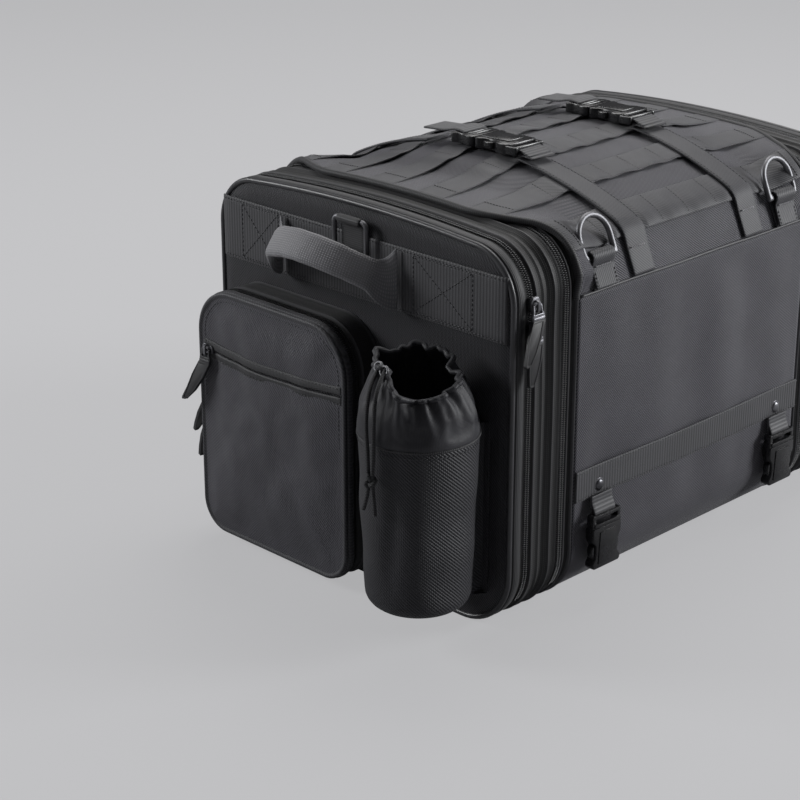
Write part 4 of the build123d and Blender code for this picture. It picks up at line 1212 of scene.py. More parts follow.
def make_top_buckles():
    """Buckle of each strap over the top, with the strap's folded end and its tail."""
    for end, x in (("left", -CROSS_X), ("right", CROSS_X)):
        place = plane((x, BUCKLE_Y - 34.0, 318.8), (1, 0, 0), (0, 0, 1))
        socket = join(f"buckle_socket_{end}", buckle_parts(place))
        settle_on(socket, "bag", ["buckle_sockets"])
        fold_path = rounded([(x, -58, 319.4), (x, -44.5, 320.4), (x, -39.8, 321.8), (x, -39.6, 325.0),
                             (x, -43.6, 325.6), (x, -54, 322.0)], 1.2)
        outward = unit(np.cross((1, 0, 0), np.gradient(fold_path, axis=0)))
        fold = strap(f"buckle_fold_{end}", fold_path, (1, 0, 0), outward, STRAP_WIDTH, 1.6, WEBBING,
                     centre=(x, -50, 322.5))
        tidy_normals(fold)
        settle_on(fold, "bag")
        plug = join(f"buckle_plug_{end}_body", buckle_parts(place, plug=True))
        settle_on(plug, f"buckle_plug_{end}", [f"buckle_plug_{end}"])
        tail_path = rounded([(x, 13, 327.4), (x, 20, 328.6), (x, 26.5, 328.2), (x, 36, 325.4), (x, 50, 324.6),
                             (x, 58, 324.0)], 1.5)
        tail = strap(f"buckle_tail_{end}", tail_path, (1, 0, 0), (0, 0, 1), STRAP_WIDTH, 1.6, WEBBING)
        settle_on(tail, f"buckle_plug_{end}")


def dome(name, place, radius, height, material):
    """Turned rivet head: a low dome with a rolled edge."""
    profile = [(radius * 0.98, 0.0), (radius, 0.25 * height), (radius * 0.94, 0.45 * height),
               (radius * 0.78, 0.72 * height), (radius * 0.5, 0.92 * height), (radius * 0.2, height),
               (0.02, height)]
    angles = np.linspace(0, 2 * math.pi, 24, endpoint=False)
    rows = [[(r * math.cos(t), r * math.sin(t), h) for t in angles] for r, h in profile]
    made = skin(name, rows, material, wrap_columns=True, caps=True)
    move_to(made, place)
    return made


def make_side_straps():
    """Webbing along each side, held by the frame seams and by two domed rivets."""
    xs = np.linspace(-SHELL_HALF, SHELL_HALF, 180)
    between = (xs + RING_X) / (2 * RING_X)
    lift = 0.35 + 0.9 * np.abs(np.sin(between * math.pi)) * smoothstep(np.abs(np.abs(xs) - RING_X), 3, 20)
    droop = -0.9 * np.sin(np.clip(between, 0, 1) * math.pi)
    path = np.column_stack([xs, -HALF_WIDTH - lift, 98.5 + droop])
    parts = [strap("side_strap", path, (0, 0, 1), (0, -1, 0), STRAP_WIDTH, 1.7, WEBBING)]
    for x in (-RING_X, RING_X):
        place = plane((x, -HALF_WIDTH - 1.9, 94.0), (1, 0, 0), (0, -1, 0))
        parts.append(dome("washer", place, 5.4, 0.5, OXIDE))
        parts.append(dome("rivet", place, 4.4, 2.1, OXIDE))
    to_sides(join("side_webbing", parts), ["side_straps"])
    edge = []
    for z in (87.8, 109.4):
        line = np.column_stack([xs, -HALF_WIDTH - lift - 1.75, np.full(len(xs), z) + droop])
        edge += stitches(line, (0, -1, 0), 3.6)
    to_sides(bars("side_strap_seams", edge, STITCH, THREAD))


def make_hanging_buckles():
    """Buckle halves that hang from the side straps on a short fold of webbing."""
    for x, near, far in ((-RING_X, "left", "right"), (RING_X, "right", "left")):
        place = plane((x, -HALF_WIDTH - 2.6, 74.0), (-1, 0, 0), (0, -1, 0))
        socket = join("side_buckle_socket", buckle_parts(place))
        y = -HALF_WIDTH - 2.9
        turns = [(0.2, 87), (0.4, 78), (1.2, 73.2), (4.2, 71.6), (6.6, 73.0), (5.2, 77.5), (2.6, 82), (2.2, 88)]
        path = rounded([(x, y - off, z) for off, z in turns], 1.0)
        outward = unit(np.cross(np.gradient(path, axis=0), (1, 0, 0)))
        fold = strap("side_buckle_fold", path, (1, 0, 0), outward, 24.0, 1.5, WEBBING, centre=(x, y - 3, 78))
        tidy_normals(fold)
        far_socket = half_turned(socket, f"side_buckle_socket_far_{far}")
        far_fold = half_turned(fold, f"side_buckle_fold_far_{far}")
        socket.name = f"side_buckle_socket_near_{near}"
        fold.name = f"side_buckle_fold_near_{near}"
        for moulded, webbing, body, sign in ((socket, fold, f"side_buckle_near_{near}", 1),
                                             (far_socket, far_fold, f"side_buckle_far_{far}", -1)):
            settle_on(moulded, body, [body])
            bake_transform(webbing)


SHOULDER_RISE = SHOULDER_Z - SEAM_Z


def slope_point(x, up, off):
    """A point on the near shoulder: up along the slope from the seam, and off it."""
    length = math.hypot(SHOULDER_IN, SHOULDER_RISE)
    return (x, -HALF_WIDTH + up * SHOULDER_IN / length - off * SHOULDER_RISE / length,
            SEAM_Z + up * SHOULDER_RISE / length + off * SHOULDER_IN / length)


def make_ring_tabs():
    """Folded webbing that holds each D-ring, with a pale bar tack under the ring."""
    tabs, tacks, threads = [], [], []
    outward = Vector((0, -SHOULDER_RISE, SHOULDER_IN)).normalized()
    for x in (-RING_X, RING_X):
        turns = [(0.5, 1.3), (12, 1.5), (19, 1.3), (24, 1.1), (27.4, 1.9), (28.3, 4.9), (26.4, 8.1), (23.2, 8.2),
                 (20.6, 6.2), (18.4, 4.2), (14, 3.6), (1, 3.3)]
        path = rounded([slope_point(x, u, v) for u, v in turns], 1.2)
        facing = unit(np.cross(np.gradient(path, axis=0), (1, 0, 0)))
        tab = strap("tab", path, (1, 0, 0), facing, STRAP_WIDTH, 1.5, WORN_WEBBING,
                    centre=slope_point(x, 14, 3))
        tidy_normals(tab)
        tabs.append(tab)
        line = [slope_point(x + t, 17.2, 6.6) for t in np.linspace(-10, 8, 14)]
        tacks += stitches(line, outward, 1.9)
        for side in (-10.6, 10.6):
            line = [slope_point(x + side, u, 5.4) for u in np.linspace(1.5, 14, 10)]
            threads += stitches(line, outward, 3.0)
    to_sides(join("d_ring_tab", tabs), ["d_ring_tabs"])
    to_sides(bars("d_ring_tab_tacks", tacks, (2.0, 1.5, 1.3), TACK))
    to_sides(bars("d_ring_tab_seams", threads, (2.2, 0.7, 0.6), THREAD))


# ---------------------------------------------------------------- band, handle and its ring
def make_band():
    """Ribbed webbing across an end panel, box-stitched at both ends, with the loop for the ring."""
    ys = np.linspace(-151.0, 151.0, 120)
    path = np.column_stack([np.full(len(ys), FACE + 0.2), ys, np.full(len(ys), BAND_Z)])
    path[:, 0] += 1.2 * smoothstep(np.abs(ys), 143, 152)
    band = strap("band", path, (0, 0, 1), (-1, 0, 0), BAND_WIDTH, 1.8, WEBBING)
    turns = [(-212.4, 262), (-212.6, 282), (-213.4, 288.6), (-214.6, 291.6), (-217, 293.0), (-219.4, 292.2),
             (-220.6, 290), (-220.2, 287.4), (-218.2, 286.4), (-215.6, 286.8), (-214.7, 284), (-214.5, 264)]
    loop_path = rounded([(x, 0, z) for x, z in turns], 1.0)
    facing = unit(np.cross((0, 1, 0), np.gradient(loop_path, axis=0)))
    if facing[5][0] > 0:
        facing = -facing
    loop = strap("loop", loop_path, (0, 1, 0), facing, 24.0, 1.5, BINDING, centre=(-216, 0, 280))
    tidy_normals(loop)
    to_ends(join("band_webbing", [band, loop]), "door", ["end_band"])
    front = FACE - 1.75
    out = (-1, 0, 0)
    sites = []
    for z in (230.2, 275.8):
        sites += stitches([(front, y, z) for y in (-149, 149)], out)
    for a, b in ((-119, -60), (86, 128)):
        corners = [(a, 231.5), (b, 231.5), (b, 274.5), (a, 274.5)]
        diagonals = [(corners[0], corners[2]), (corners[1], corners[3])]
        for start, stop in list(zip(corners, corners[1:] + corners[:1])) + diagonals:
            sites += stitches([(front, *start), (front, *stop)], out)
    to_ends(bars("end_band_seams", sites, (2.7, 0.9, 0.8), THREAD), "door")


def make_handle():
    """Webbing handle: flat and as tall as the band at its roots, folded round a soft core in the grip."""
    pivot = np.array([-213.2, 17.0, 258.0])
    bend = 69.6
    root_half, grip_half = 23.8, 12.0
    rows = []
    count = 84
    for k in range(count + 1):
        s = k / count
        angle = math.radians(115.2 + 129.6 * s)
        out = bend * math.cos(angle) + 29.6
        run = min(s, 1 - s) * 157.0
        grip = float(np.clip((run - 1.5) / 19.0, 0, 1))
        grip = 0.75 * grip + 0.25 * float(smoothstep(grip, 0, 1))
        half_height = root_half + (grip_half - root_half) * grip
        half_depth = 1.1 + 2.9 * float(smoothstep(run, 8, 30)) + 1.3 * math.exp(-((run - 21) / 4) ** 2)
        rise = BAND_Z + (246.5 - 0.7 * out - BAND_Z) * grip
        centre = np.array([pivot[0] + out, pivot[1] + bend * math.sin(angle), rise])
        lean = math.radians(28.0) * grip
        up = np.array([math.sin(lean), 0.0, math.cos(lean)])
        way = unit(np.array([math.cos(angle), math.sin(angle), -0.7 * math.cos(angle) * grip]))
        up = unit(up - way * up.dot(way))
        section = []
        for turn in np.linspace(0, 2 * math.pi, 28, endpoint=False):
            c, d = math.cos(turn), math.sin(turn)
            a = math.copysign(abs(c) ** 0.42, c) * half_height
            b = math.copysign(abs(d) ** 0.75, d) * half_depth
            section.append(centre + up * a + way * b)
        rows.append(section)
    rows = np.array(rows)
    shift = 0.5 * swell(rows, 16, 31) + 0.25 * swell(rows, 7, 33)
    rows += unit(rows - rows.mean(axis=1, keepdims=True)) * shift[..., None]
    # The grip's webbing is painted paler: painted light.
    grip = skin("grip_webbing", rows, LIT_GRIP_WEBBING, wrap_columns=True, caps=True,
                centre=tuple(pivot + [-20, 0, 8]))
    fine = grip.modifiers.new("smooth", "SUBSURF")
    fine.levels = fine.render_levels = 1
    settle(grip)
    for piece, end, sign in both_ends(grip):
        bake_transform(piece)
        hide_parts(f"carry_handle_{end}")


# ---------------------------------------------------------------- pocket
def pocket_x(outline, _inset=0.0):
    """Depth of the pocket's crowned front, with the soft dents of a part-filled pocket."""
    outline = np.asarray(outline, float)
    y, z = outline[:, 0], outline[:, 1]
    side = np.minimum(y - (POCKET_Y - POCKET_HALF), POCKET_Y + POCKET_HALF - y)
    level = np.minimum(z - POCKET_LOW, POCKET_TOP - z)
    crown = smoothstep(side, 2, 46) * smoothstep(level, 2, 46)
    points = np.column_stack([np.zeros(len(y)), y, z])
    dents = 1.5 * swell(points * [1, 1, 0.7], 38, 41) + 0.7 * swell(points, 17, 43)
    pinch = 1.4 * np.exp(-((z - 165) / 12) ** 2)
    free = smoothstep(np.minimum(side, level), 3, 20)
    return POCKET_FRONT - 0.2 - 4.0 * crown + free * (dents + pinch)


def make_pocket():
    """Pocket walls on the door, and the pocket's front, made as one fixed piece though the real flap opens above
    its hinge line.
    """
    cloth, tape, web = range(3)
    profile = [
        (-209.6, 0.2, web), (-210.6, -0.9, web), (-212.4, -0.2, cloth), (-218, -0.9, cloth), (-225, -0.9, cloth),
        (-227.6, -0.4, web), (-228.6, -0.9, web), (-229.8, 0.4, tape), (-235.6, 0.7, tape), (-235.7, 3.0, tape),
        (-222, 3.0, cloth), (-210, 3.0, cloth),
    ]
    rows = ring_rows(pocket_ring, [(x, inset) for x, inset, _ in profile])
    rows = roughen(rows, 0.4, 40, 45, [0, 0, 0.5, 1, 1, 0.5, 0.3, 0.3, 0.3, 0, 0, 0])
    wall = skin("pocket_gusset", rows, [SHADED_GUSSET, ZIP_TAPE, WEBBING], wrap_rows=True, wrap_columns=True,
                zones=[zone for _, _, zone in profile], centre=(-222, POCKET_Y, 110))
    tidy_normals(wall)
    to_ends(wall, "door", ["pocket_body", "pocket_zip"])

    edge = [(-236.1, 3.0, 1), (-236.2, 0.8, 1), (-238.8, 0.5, 1), (-239.3, -0.4, 2), (-241.0, -0.9, 2),
            (-243.8, -0.9, 2), (-244.8, -0.2, 2), (-245.2, 0.6, 2), (-246.0, -0.3, 2), (-247.4, -0.2, 2),
            (-248.3, 1.0, 2), (-248.2, 2.4, 2), (-247.3, 3.4, 2)]
    outer = ring_rows(pocket_ring, [(x, inset) for x, inset, _ in edge])
    inner = face_rows(pocket_ring, [4.2, 6, 9, 13, 17.5, 22], pocket_x, (POCKET_Y, 111))
    extra = []
    for before, after in zip(inner[5:-1], inner[6:]):
        extra += [before, (before + after) / 2]
    inner = np.array(list(inner[:5]) + extra + [inner[-1]])
    for row in inner:
        row[:, 0] = pocket_x(row[:, 1:])
    rows = np.vstack([outer, inner])
    zones = [zone for _, _, zone in edge] + [0] * len(inner)
    front = skin("pocket_front", rows, [BALLISTIC, ZIP_TAPE, WORN_WEBBING], wrap_columns=True, zones=zones,
                 on_face=True, centre=(-200, POCKET_Y, 110))
    reshape(front, close_middle)
    thicken(front, 2.0)
    for piece, end, sign in both_ends(front):
        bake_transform(piece)
        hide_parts(f"pocket_flap_{end}")

    for name, x, lowest, shift, body in (("pocket_coil_back", -234.2, 78, 0.0, "door"),
                                         ("pocket_coil_front", -237.6, 120, TOOTH_PITCH / 2, "flap")):
        sites = coil_sites(pocket_ring, x, -0.1, lowest, shift, (POCKET_Y, 111.0))
        to_ends(bars(name, sites, (3.3, 1.15, 1.6), COIL), body)

    outline = np.vstack([pocket_ring(7.0), pocket_ring(7.0)[:1]])
    line = np.column_stack([pocket_x(outline) - 0.2, outline])
    seam = [site for site in stitches(line, (-1, 0, 0)) if site[0][2] > 120]
    to_ends(bars("pocket_flap_seam", seam, STITCH, THREAD), "flap")


def slit_path():
    """The slit zip's sagging line across the flap."""
    ys = np.linspace(136.5, -20.5, 80)
    zs = 163.5 - 3.2 * np.sin(np.linspace(0, math.pi, 80)) ** 0.8
    outline = np.column_stack([ys, zs])
    return np.column_stack([pocket_x(outline), outline])


def make_slit():
    """Slit zip across the flap: two turned edges with the coil hidden in the groove between them."""
    path = slit_path()
    section = [(-7.4, -1.2), (-7.4, 0.1), (-6.8, 0.7), (-2.6, 1.0), (-1.3, 0.8), (-0.9, -0.5), (0.9, -0.5),
               (1.3, 0.9), (2.6, 1.1), (6.8, 0.8), (7.4, 0.2), (7.4, -1.2)]
    ends = smoothstep(np.minimum(np.arange(80), np.arange(80)[::-1]), 0, 4)
    rows = [[(p[0] - b * (0.3 + 0.7 * share), p[1], p[2] + a) for a, b in section]
            for p, share in zip(path, ends)]
    slit = skin("slit_edges", rows, [BINDING], wrap_columns=True, caps=True, centre=(-240, POCKET_Y, 163))
    tidy_normals(slit)
    to_ends(slit, "flap")
    sites = [site for offset in (-6.0, 6.0) for site in stitches(path + [-1.0, 0, offset], (-1, 0, 0))]
    to_ends(bars("slit_seams", sites, STITCH, THREAD), "flap")
    teeth = [(point - [0.25, 0, 0], (0, 0, 1), (-1, 0, 0)) for point in walk(path, 1.5)[0]]
    to_ends(bars("slit_coil", teeth, (2.0, 1.0, 1.3), COIL), "flap")


# ---------------------------------------------------------------- bottle holder
def cup_line(radius):
    """(x, y) points round the cup, from one line of its seam on the end panel round the front to the other."""
    start = math.asin(CUP_SEWN / radius)
    angles = np.linspace(start, 2 * math.pi - start, 60)
    return np.column_stack([CUP_X + radius * np.cos(angles), CUP_Y + radius * np.sin(angles)])


def make_cup():
    """Round cup sewn to the end panel down both sides, its foot turned in."""
    rows = [(z, 39.5 + 4.3 * (z - 42) / 123) for z in np.linspace(CUP_RIM, 42, 34)]
    for k in range(1, 7):
        angle = math.radians(15 * k)
        rows.append((42 - 12 * math.sin(angle), 27.5 + 12 * math.cos(angle)))
    mesh_rows = []
    for z, radius in rows:
        line = cup_line(radius)
        seam = [(FACE - 0.6, CUP_Y + CUP_SEWN + 6.0), (FACE - 1.2, CUP_Y + CUP_SEWN + 5.8),
                (FACE - 1.4, CUP_Y + CUP_SEWN + 1.0)]
        line = np.vstack([seam, line, [(x, 2 * CUP_Y - y) for x, y in seam[::-1]]])
        points = np.column_stack([line, np.full(len(line), z)])
        out = unit(np.column_stack([line - [CUP_X, CUP_Y], np.zeros(len(line))]))
        free = smoothstep(CUP_RIM - z, 2, 40) * smoothstep(-line[:, 0], 216, 240) * smoothstep(z, 30, 60)
        angle = np.arctan2(out[:, 1], -out[:, 0])
        down = math.sin(math.pi * float(np.clip((CUP_RIM - z) / 125, 0, 1)))
        crease = -2.6 * np.exp(-((angle + 0.30 + 0.0016 * (z - 100)) / 0.16) ** 2) * down
        crease += 1.4 * np.exp(-((angle + 0.75) / 0.25) ** 2) * down
        dent = 1.1 * swell(points, 34, 51) + crease
        mesh_rows.append(points + out * (dent * free)[:, None])
    mesh_rows = mesh_rows[::-1]
    foot = mesh_rows[0]
    middle = foot.mean(axis=0)
    mesh_rows = [middle + (foot - middle) * share for share in (0.01, 0.3, 0.65)] + mesh_rows
    # The cup's cloth is painted darker: painted shade.
    cup = skin("cup_cloth", mesh_rows, SHADED_BALLISTIC, centre=(-235, CUP_Y, 100))
    thicken(cup, 1.8, bevel=0.4)
    line = cup_line(44.0)
    rim = tube("rim", np.column_stack([line, np.full(len(line), CUP_RIM)]), 0.9, BINDING)
    to_ends(join("bottle_cup", [cup, rim]), "door", ["bottle_holder"])
    line = cup_line(44.1)[6:-6]
    path = np.column_stack([line, np.full(len(line), CUP_RIM - 4.5)])
    facing = unit(np.column_stack([line - [CUP_X, CUP_Y], np.zeros(len(line))]))
    to_ends(bars("bottle_holder_seams", stitches(path, facing), STITCH, THREAD), "door")


# The hood's mesh, its size as cut in metres, its mouth in (x, y), and the ways of the cord and of the back.
HOOD_COLUMNS = 132
HOOD_ROWS = 22
MOUTH = np.array([-261.0, -111.0])
MOUTH_RADIUS = 29.5
CORD_WAY = math.radians(164.0)
BACK_WAY = math.radians(49.0)
CLOTH_FRAMES = 24


def hood_foot():
    """(x, y) points all round the hood's foot inside the cup's rim, evenly spaced, cut flat at the back."""
    angles = np.linspace(0, 2 * math.pi, HOOD_COLUMNS, endpoint=False)
    x = np.minimum(CUP_X + 43.2 * np.cos(angles), FACE - 3.0)
    return np.column_stack([x, CUP_Y + 43.2 * np.sin(angles)]), angles


def turn_between(angles, way):
    """Smallest angle between each of some directions and one way."""
    return np.arctan2(np.sin(angles - way), np.cos(angles - way))


def let_settle(hood, gathered, cut):
    """Let a gathered sleeve settle as cloth that was cut flat, held at its foot and its mouth."""
    hood.shape_key_add(name="gathered")
    key = hood.shape_key_add(name="cut")
    key.data.foreach_set("co", (cut * MM).reshape(-1))
    group = hood.vertex_groups.new(name="sewn")
    group.add(list(range(HOOD_COLUMNS)), 1.0, "REPLACE")
    group.add(list(range(HOOD_COLUMNS * (HOOD_ROWS - 2), HOOD_COLUMNS * HOOD_ROWS)), 1.0, "REPLACE")
    cloth = hood.modifiers.new("cloth", "CLOTH")
    for setting, value in (("quality", 8), ("mass", 0.06), ("tension_stiffness", 12),
                           ("compression_stiffness", 12), ("shear_stiffness", 4), ("bending_stiffness", 0.02),
                           ("air_damping", 4), ("vertex_group_mass", "sewn"), ("rest_shape_key", key)):
        setattr(cloth.settings, setting, value)
    cloth.settings.effector_weights.gravity = 0.25
    cloth.collision_settings.use_collision = False
    cloth.point_cache.frame_start = 1
    cloth.point_cache.frame_end = CLOTH_FRAMES
    for number in range(1, CLOTH_FRAMES + 1):
        bpy.context.scene.frame_set(number)
    settled = hood.evaluated_get(bpy.context.evaluated_depsgraph_get()).to_mesh()
    move = np.array([v.co for v in settled.vertices]) / MM - gathered
    size = np.linalg.norm(move, axis=1, keepdims=True)
    move *= np.minimum(1.0, 6.0 / np.maximum(size, 1e-6))
    hood.modifiers.clear()
    hood.shape_key_clear()
    for vertex, point in zip(hood.data.vertices, gathered + move):
        vertex.co = Vector(point) * MM
    bpy.context.scene.frame_set(1)


def make_hood():
    """Drawstring hood: a straight sleeve of taffeta, gathered at its mouth, settled as cloth."""
    foot, angles = hood_foot()
    pleats = sum(size * np.sin(number * angles + phase) for number, size, phase in
                 ((4, 0.6, 0.4), (7, 0.7, 2.1), (13, 0.5, 5.0), (23, 0.35, 1.2)))
    at_cord = np.exp(-(turn_between(angles, CORD_WAY) / 0.5) ** 2)
    radius = MOUTH_RADIUS - 5.0 * at_cord
    lip = MOUTH + np.column_stack([np.cos(angles), np.sin(angles)]) * radius[:, None]
    height = 210.5 + 10.5 * np.cos(angles - BACK_WAY) + 11.0 * at_cord + 1.0 * pleats
    cut, start = [], []
    for i in range(HOOD_ROWS):
        t = i / (HOOD_ROWS - 1)
        cut.append(np.column_stack([foot, np.full(len(foot), CUP_RIM - 2 + 66.0 * t)]))
        ring = foot + (lip - foot) * t ** 1.55
        away = unit(ring - MOUTH)
        points = np.column_stack([ring, np.full(len(ring), 44.0 * t)])
        soft = 2.6 * swell(points, 24, 61) * math.sin(math.pi * t)
        ring = ring + away * (3.2 * t ** 2.2 * pleats + 3.0 * math.sin(math.pi * t ** 0.7) + soft)[:, None]
        start.append(np.column_stack([ring, CUP_RIM - 2 + (height - CUP_RIM + 2) * t ** 0.9]))
    hood = skin("hood_cloth", start, TAFFETA, wrap_columns=True, centre=(-250, CUP_Y, 185))
    let_settle(hood, np.array(start).reshape(-1, 3), np.array(cut).reshape(-1, 3))
    hem_row = np.array([v.co for v in hood.data.vertices])[-HOOD_COLUMNS:] / MM
    smooth = hood.modifiers.new("smooth", "SUBSURF")
    smooth.levels = smooth.render_levels = 1
    settle(hood)
    hem = tube("hood_hem", hem_row, 2.0 + 0.35 * pleats, TAFFETA, closed=True, centre=(*MOUTH, 214))
    eyelets = []
    for x, y, z in ((-284.0, -104.6, 216.6), (-281.6, -96.6, 217.2)):
        place = plane((x - 1.2, y, z), (0, 1, 0), (-0.9, -0.1 if y < -100 else 0.2, 0.45))
        angles = np.linspace(0, 2 * math.pi, 20, endpoint=False)
        ring = np.array([place @ Vector((3.4 * math.cos(a), 3.4 * math.sin(a), 0)) for a in angles])
        eyelets.append(tube("eyelet", ring, 1.0, NICKEL, closed=True, centre=(x, y, z)))
    for (trim, end, _), (piece, _, _) in zip(both_ends(hem), both_ends(hood)):
        settle_on(trim, f"door_{end}")
        settle_on(piece, f"door_{end}", [f"bottle_hood_{end}"])
    to_ends(join("hood_eyelets", eyelets), "door")


# ---------------------------------------------------------------- zip sliders and pulls
def slider_parts(place, bridge_turned=False):
    """Zip slider on Z=0 with its travel along Y: waisted plate, raised lips and the bridge for the pull."""
    outline = [(-2.6, 6.0), (2.6, 6.0), (4.5, 3.4), (4.1, 0.0), (3.4, -4.4), (2.6, -6.0), (-2.6, -6.0),
               (-3.4, -4.4), (-4.1, 0.0), (-4.5, 3.4)]
    parts = [slab("plate", outline[::-1], 0.1, 2.6, ZINC, place, 0.5)]
    turn = Matrix.Rotation(math.pi / 2, 4, "Z") if bridge_turned else Matrix.Identity(4)
    stand = place @ turn @ Matrix(((0, 0, 1, 0), (1, 0, 0, 0), (0, 1, 0, 0), (0, 0, 0, 1)))
    arch = [(-4.2, 2.4), (4.2, 2.4), (4.2, 4.6), (3.2, 6.2), (-3.2, 6.2), (-4.2, 4.6)]
    window = [(-2.9, 2.5), (2.9, 2.5), (2.9, 4.2), (2.5, 5.1), (-2.5, 5.1), (-2.9, 4.2)]
    parts.append(slab("bridge", arch, -1.3, 1.3, ZINC, stand, 0.3, hollow=window))
    return parts


def pull_parts(place, tab_length, lean, metal=True):
    """Pull hanging down -Y from its bar: wire legs, clip with a window, and a leaf-shaped tab."""
    finish = ZINC if metal else RUBBER
    parts = []
    bar = [place @ Vector((x, 0, 0)) for x in (-4.6, -2, 2, 4.6)]
    parts.append(tube("bar", bar, 0.9, finish, sides=8, centre=tuple(place.translation)))
    frame_out = [(-4.6, 0.8), (4.6, 0.8), (4.8, -4.4), (6.2, -6.4), (6.2, -10.8), (-6.2, -10.8), (-6.2, -6.4),
                 (-4.8, -4.4)]
    frame_in = [(-3.2, -0.7), (3.2, -0.7), (3.2, -4.2), (3.6, -5.2), (3.6, -5.8), (-3.6, -5.8), (-3.6, -5.2),
                (-3.2, -4.2)]
    parts.append(slab("clip", frame_out[::-1], -0.9, 0.9, finish, place, 0.35, hollow=frame_in[::-1]))
    parts.append(slab("window", box_outline(12.0, 2.6, 0.8, 0.0, -9.3), -1.35, 1.35, finish, place, 0.5))
    parts.append(slab("window", box_outline(11.0, 1.3, 0.5, 0.0, -6.5), -1.3, 1.3, finish, place, 0.4))
    top = -10.4
    leaf = [(-6.3, 0), (-6.7, -0.35), (-5.2, -0.68), (-2.6, -0.95), (-1.0, -1.0), (2.4, -0.985), (4.6, -0.72),
            (6.5, -0.36), (6.3, 0)]
    outline = []
    for x, share in leaf:
        drift = lean * (0.55 * -share / 0.65 if -share < 0.65 else 0.55 + 0.45 * (-share - 0.65) / 0.35)
        outline.append((x + drift, top + share * tab_length))
    parts.append(slab("leaf", outline, -1.0, 1.0, RUBBER, place, 0.45))
    middle = np.mean(outline, axis=0)
    edge_in = [tuple(middle + (np.array(p) - middle) * [0.80, 0.90]) for p in outline]
    parts.append(slab("edge", outline, 0.8, 1.35, RUBBER, place, 0.2, hollow=edge_in))
    parts.append(slab("edge", outline, -1.35, -0.8, RUBBER, place, 0.2, hollow=edge_in))
    return parts


def tip(degrees):
    """A pull's lean off its slider."""
    return Matrix.Rotation(math.radians(-degrees), 4, "X")


def make_zip_fittings():
    """Every slider and pull of an end, in the places where the CAD has them."""
    side_face = -HALF_WIDTH - 1.1
    track = -191.5
    bar = 3.75
    upper = plane((track, side_face, 256.0), (1, 0, 0), (0, -1, 0))
    lower = plane((track, side_face, 238.0), (1, 0, 0), (0, -1, 0))
    to_ends(join("door_slider_upper", slider_parts(upper)), "end_section", ["frame_zips"])
    to_ends(join("door_slider_lower", slider_parts(lower)), "door_slider", ["door_slider"])
    for name, seat, tilt, lean in (("door_pull_upper", upper, 9.0, -17.0), ("door_pull_lower", lower, 2.5, -7.0)):
        place = seat @ Matrix.Translation((0, 0, bar)) @ tip(tilt)
        to_ends(join(f"{name}_tab", pull_parts(place, 31.0, lean)), name, [name])
    for name, height, tilt in (("pocket_pull_upper", 118.0, 30.0), ("pocket_pull_lower", 100.0, 22.0)):
        seat = plane((-231.5, POCKET_Y + 84.6, height), (-1, 0, 0), (0, 1, 0))
        to_ends(join(name.replace("pull", "slider"), slider_parts(seat)), "door")
        place = seat @ Matrix.Translation((0, 0, bar)) @ tip(tilt)
        to_ends(join(f"{name}_tab", pull_parts(place, 36.0, 0.0, metal=False)), name, [name])
    slit_seat = plane((-247.1, 130.5, 163.0), (0, 0, 1), (-1, 0, 0))
    to_ends(join("slit_slider", slider_parts(slit_seat, bridge_turned=True)), "flap")
    hang = plane((-247.1 - bar, 130.5, 163.0), (0, -1, 0), (-1, 0, 0)) @ tip(8.0)
    slit_pull = join("slit_pull_tab", pull_parts(hang, 36.0, -22.0, metal=False))
    to_ends(slit_pull, "slit_pull", ["slit_pull"])


def make_piping():
    """Piping round the edge of an end panel."""
    outline = end_ring(PIPING_RADIUS)
    path = np.column_stack([np.full(len(outline), FACE + PIPING_RADIUS), outline])
    piping = tube("edge_piping", path, PIPING_RADIUS, PIPING, sides=16, closed=True)
    to_ends(piping, "door", ["piping"])


def paint(node, material):
    """Give a CAD node that shows as it is its real finish."""
    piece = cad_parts[node]
    piece.data.materials.clear()
    piece.data.materials.append(material)


def paint_kept():
    """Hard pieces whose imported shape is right: rings and the board."""
    for end, _ in ENDS:
        paint(f"handle_ring_{end}", NICKEL)
        for side in ("near", "far"):
            paint(f"d_ring_{side}_{end}", NICKEL)
    paint("base_board", BOARD)


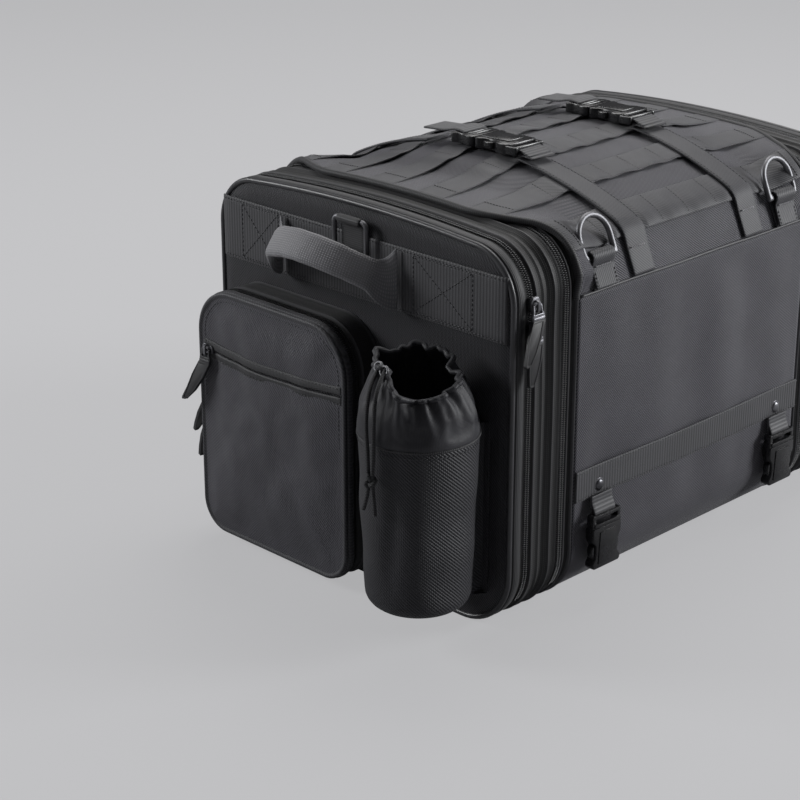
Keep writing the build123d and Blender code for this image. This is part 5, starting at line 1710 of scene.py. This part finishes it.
# ---------------------------------------------------------------- floor and light
def make_stage():
    """Plain pale floor and soft studio light from above, behind and the right."""
    mesh = bpy.data.meshes.new("floor")
    level = -0.0004
    corners = [(-7, -7, level), (9, -7, level), (9, 9, level), (-7, 9, level)]
    mesh.from_pydata(corners, [], [(0, 1, 2, 3)])
    floor = put("floor", mesh)
    # Seamless background paper, matt and almost white under the lamps: most of its tone is even, and the
    # rest carries the bag's shadow.
    paper, tree, shader = blank("background_paper", {"Roughness": 0.9, "Specular IOR Level": 0.2})
    shader.inputs["Base Color"].default_value = linear("#a4a4a6")
    glow = add_node(tree, "ShaderNodeEmission", {"Color": linear("#d5d5d7"), "Strength": 1.0})
    rays = add_node(tree, "ShaderNodeLightPath").outputs
    share = mix_values(tree, "MULTIPLY", rays["Is Camera Ray"], 0.62)
    mixed = add_node(tree, "ShaderNodeMixShader",
                     links={"Fac": share, 1: shader.outputs[0], 2: glow.outputs[0]})
    tree.links.new(mixed.outputs[0], tree.nodes["Material Output"].inputs["Surface"])
    mesh.materials.append(paper)

    def lamp(name, place, aim, size, power, colour):
        data = bpy.data.lights.new(name, "AREA")
        data.shape = "RECTANGLE"
        data.size, data.size_y = size
        data.energy = power
        data.color = colour
        made = put(name, data)
        made.location = place
        made.rotation_euler = (Vector(aim) - Vector(place)).to_track_quat("-Z", "Y").to_euler()

    lamp("key", (0.9, 0.5, 2.1), (0.0, 0.0, 0.2), (1.8, 1.4), 32.0, (1.0, 0.99, 0.98))
    lamp("side", (2.0, -1.9, 1.05), (0.1, -0.1, 0.15), (1.1, 0.9), 68.0, (0.98, 0.99, 1.0))
    lamp("fill", (-1.75, 2.1, 1.3), (-0.2, 0.0, 0.15), (1.0, 0.9), 44.0, (0.98, 0.99, 1.0))
    world = bpy.data.worlds.new("studio")
    bpy.context.scene.world = world
    world.use_nodes = True
    # The studio's far wall: dim as a light, and as pale as the paper where the camera sees it.
    wall = world.node_tree.nodes["Background"]
    wall.inputs["Color"].default_value = linear("#cfcfd2")
    seen = add_node(world.node_tree, "ShaderNodeLightPath").outputs["Is Camera Ray"]
    pale = mix_values(world.node_tree, "MULTIPLY", seen, 0.88)
    world.node_tree.links.new(mix_values(world.node_tree, "MAXIMUM", pale, 0.12), wall.inputs["Strength"])
    bpy.context.scene.view_settings.view_transform = "Standard"


make_end_frame()
make_door()
make_piping()
make_coils()
make_sleeve()
make_top()
make_shell_cloth()
make_grid()
make_cross_straps()
make_top_buckles()
make_side_straps()
make_hanging_buckles()
make_ring_tabs()
make_band()
make_handle()
make_pocket()
make_slit()
make_cup()
make_hood()
make_zip_fittings()
paint_kept()
make_stage()
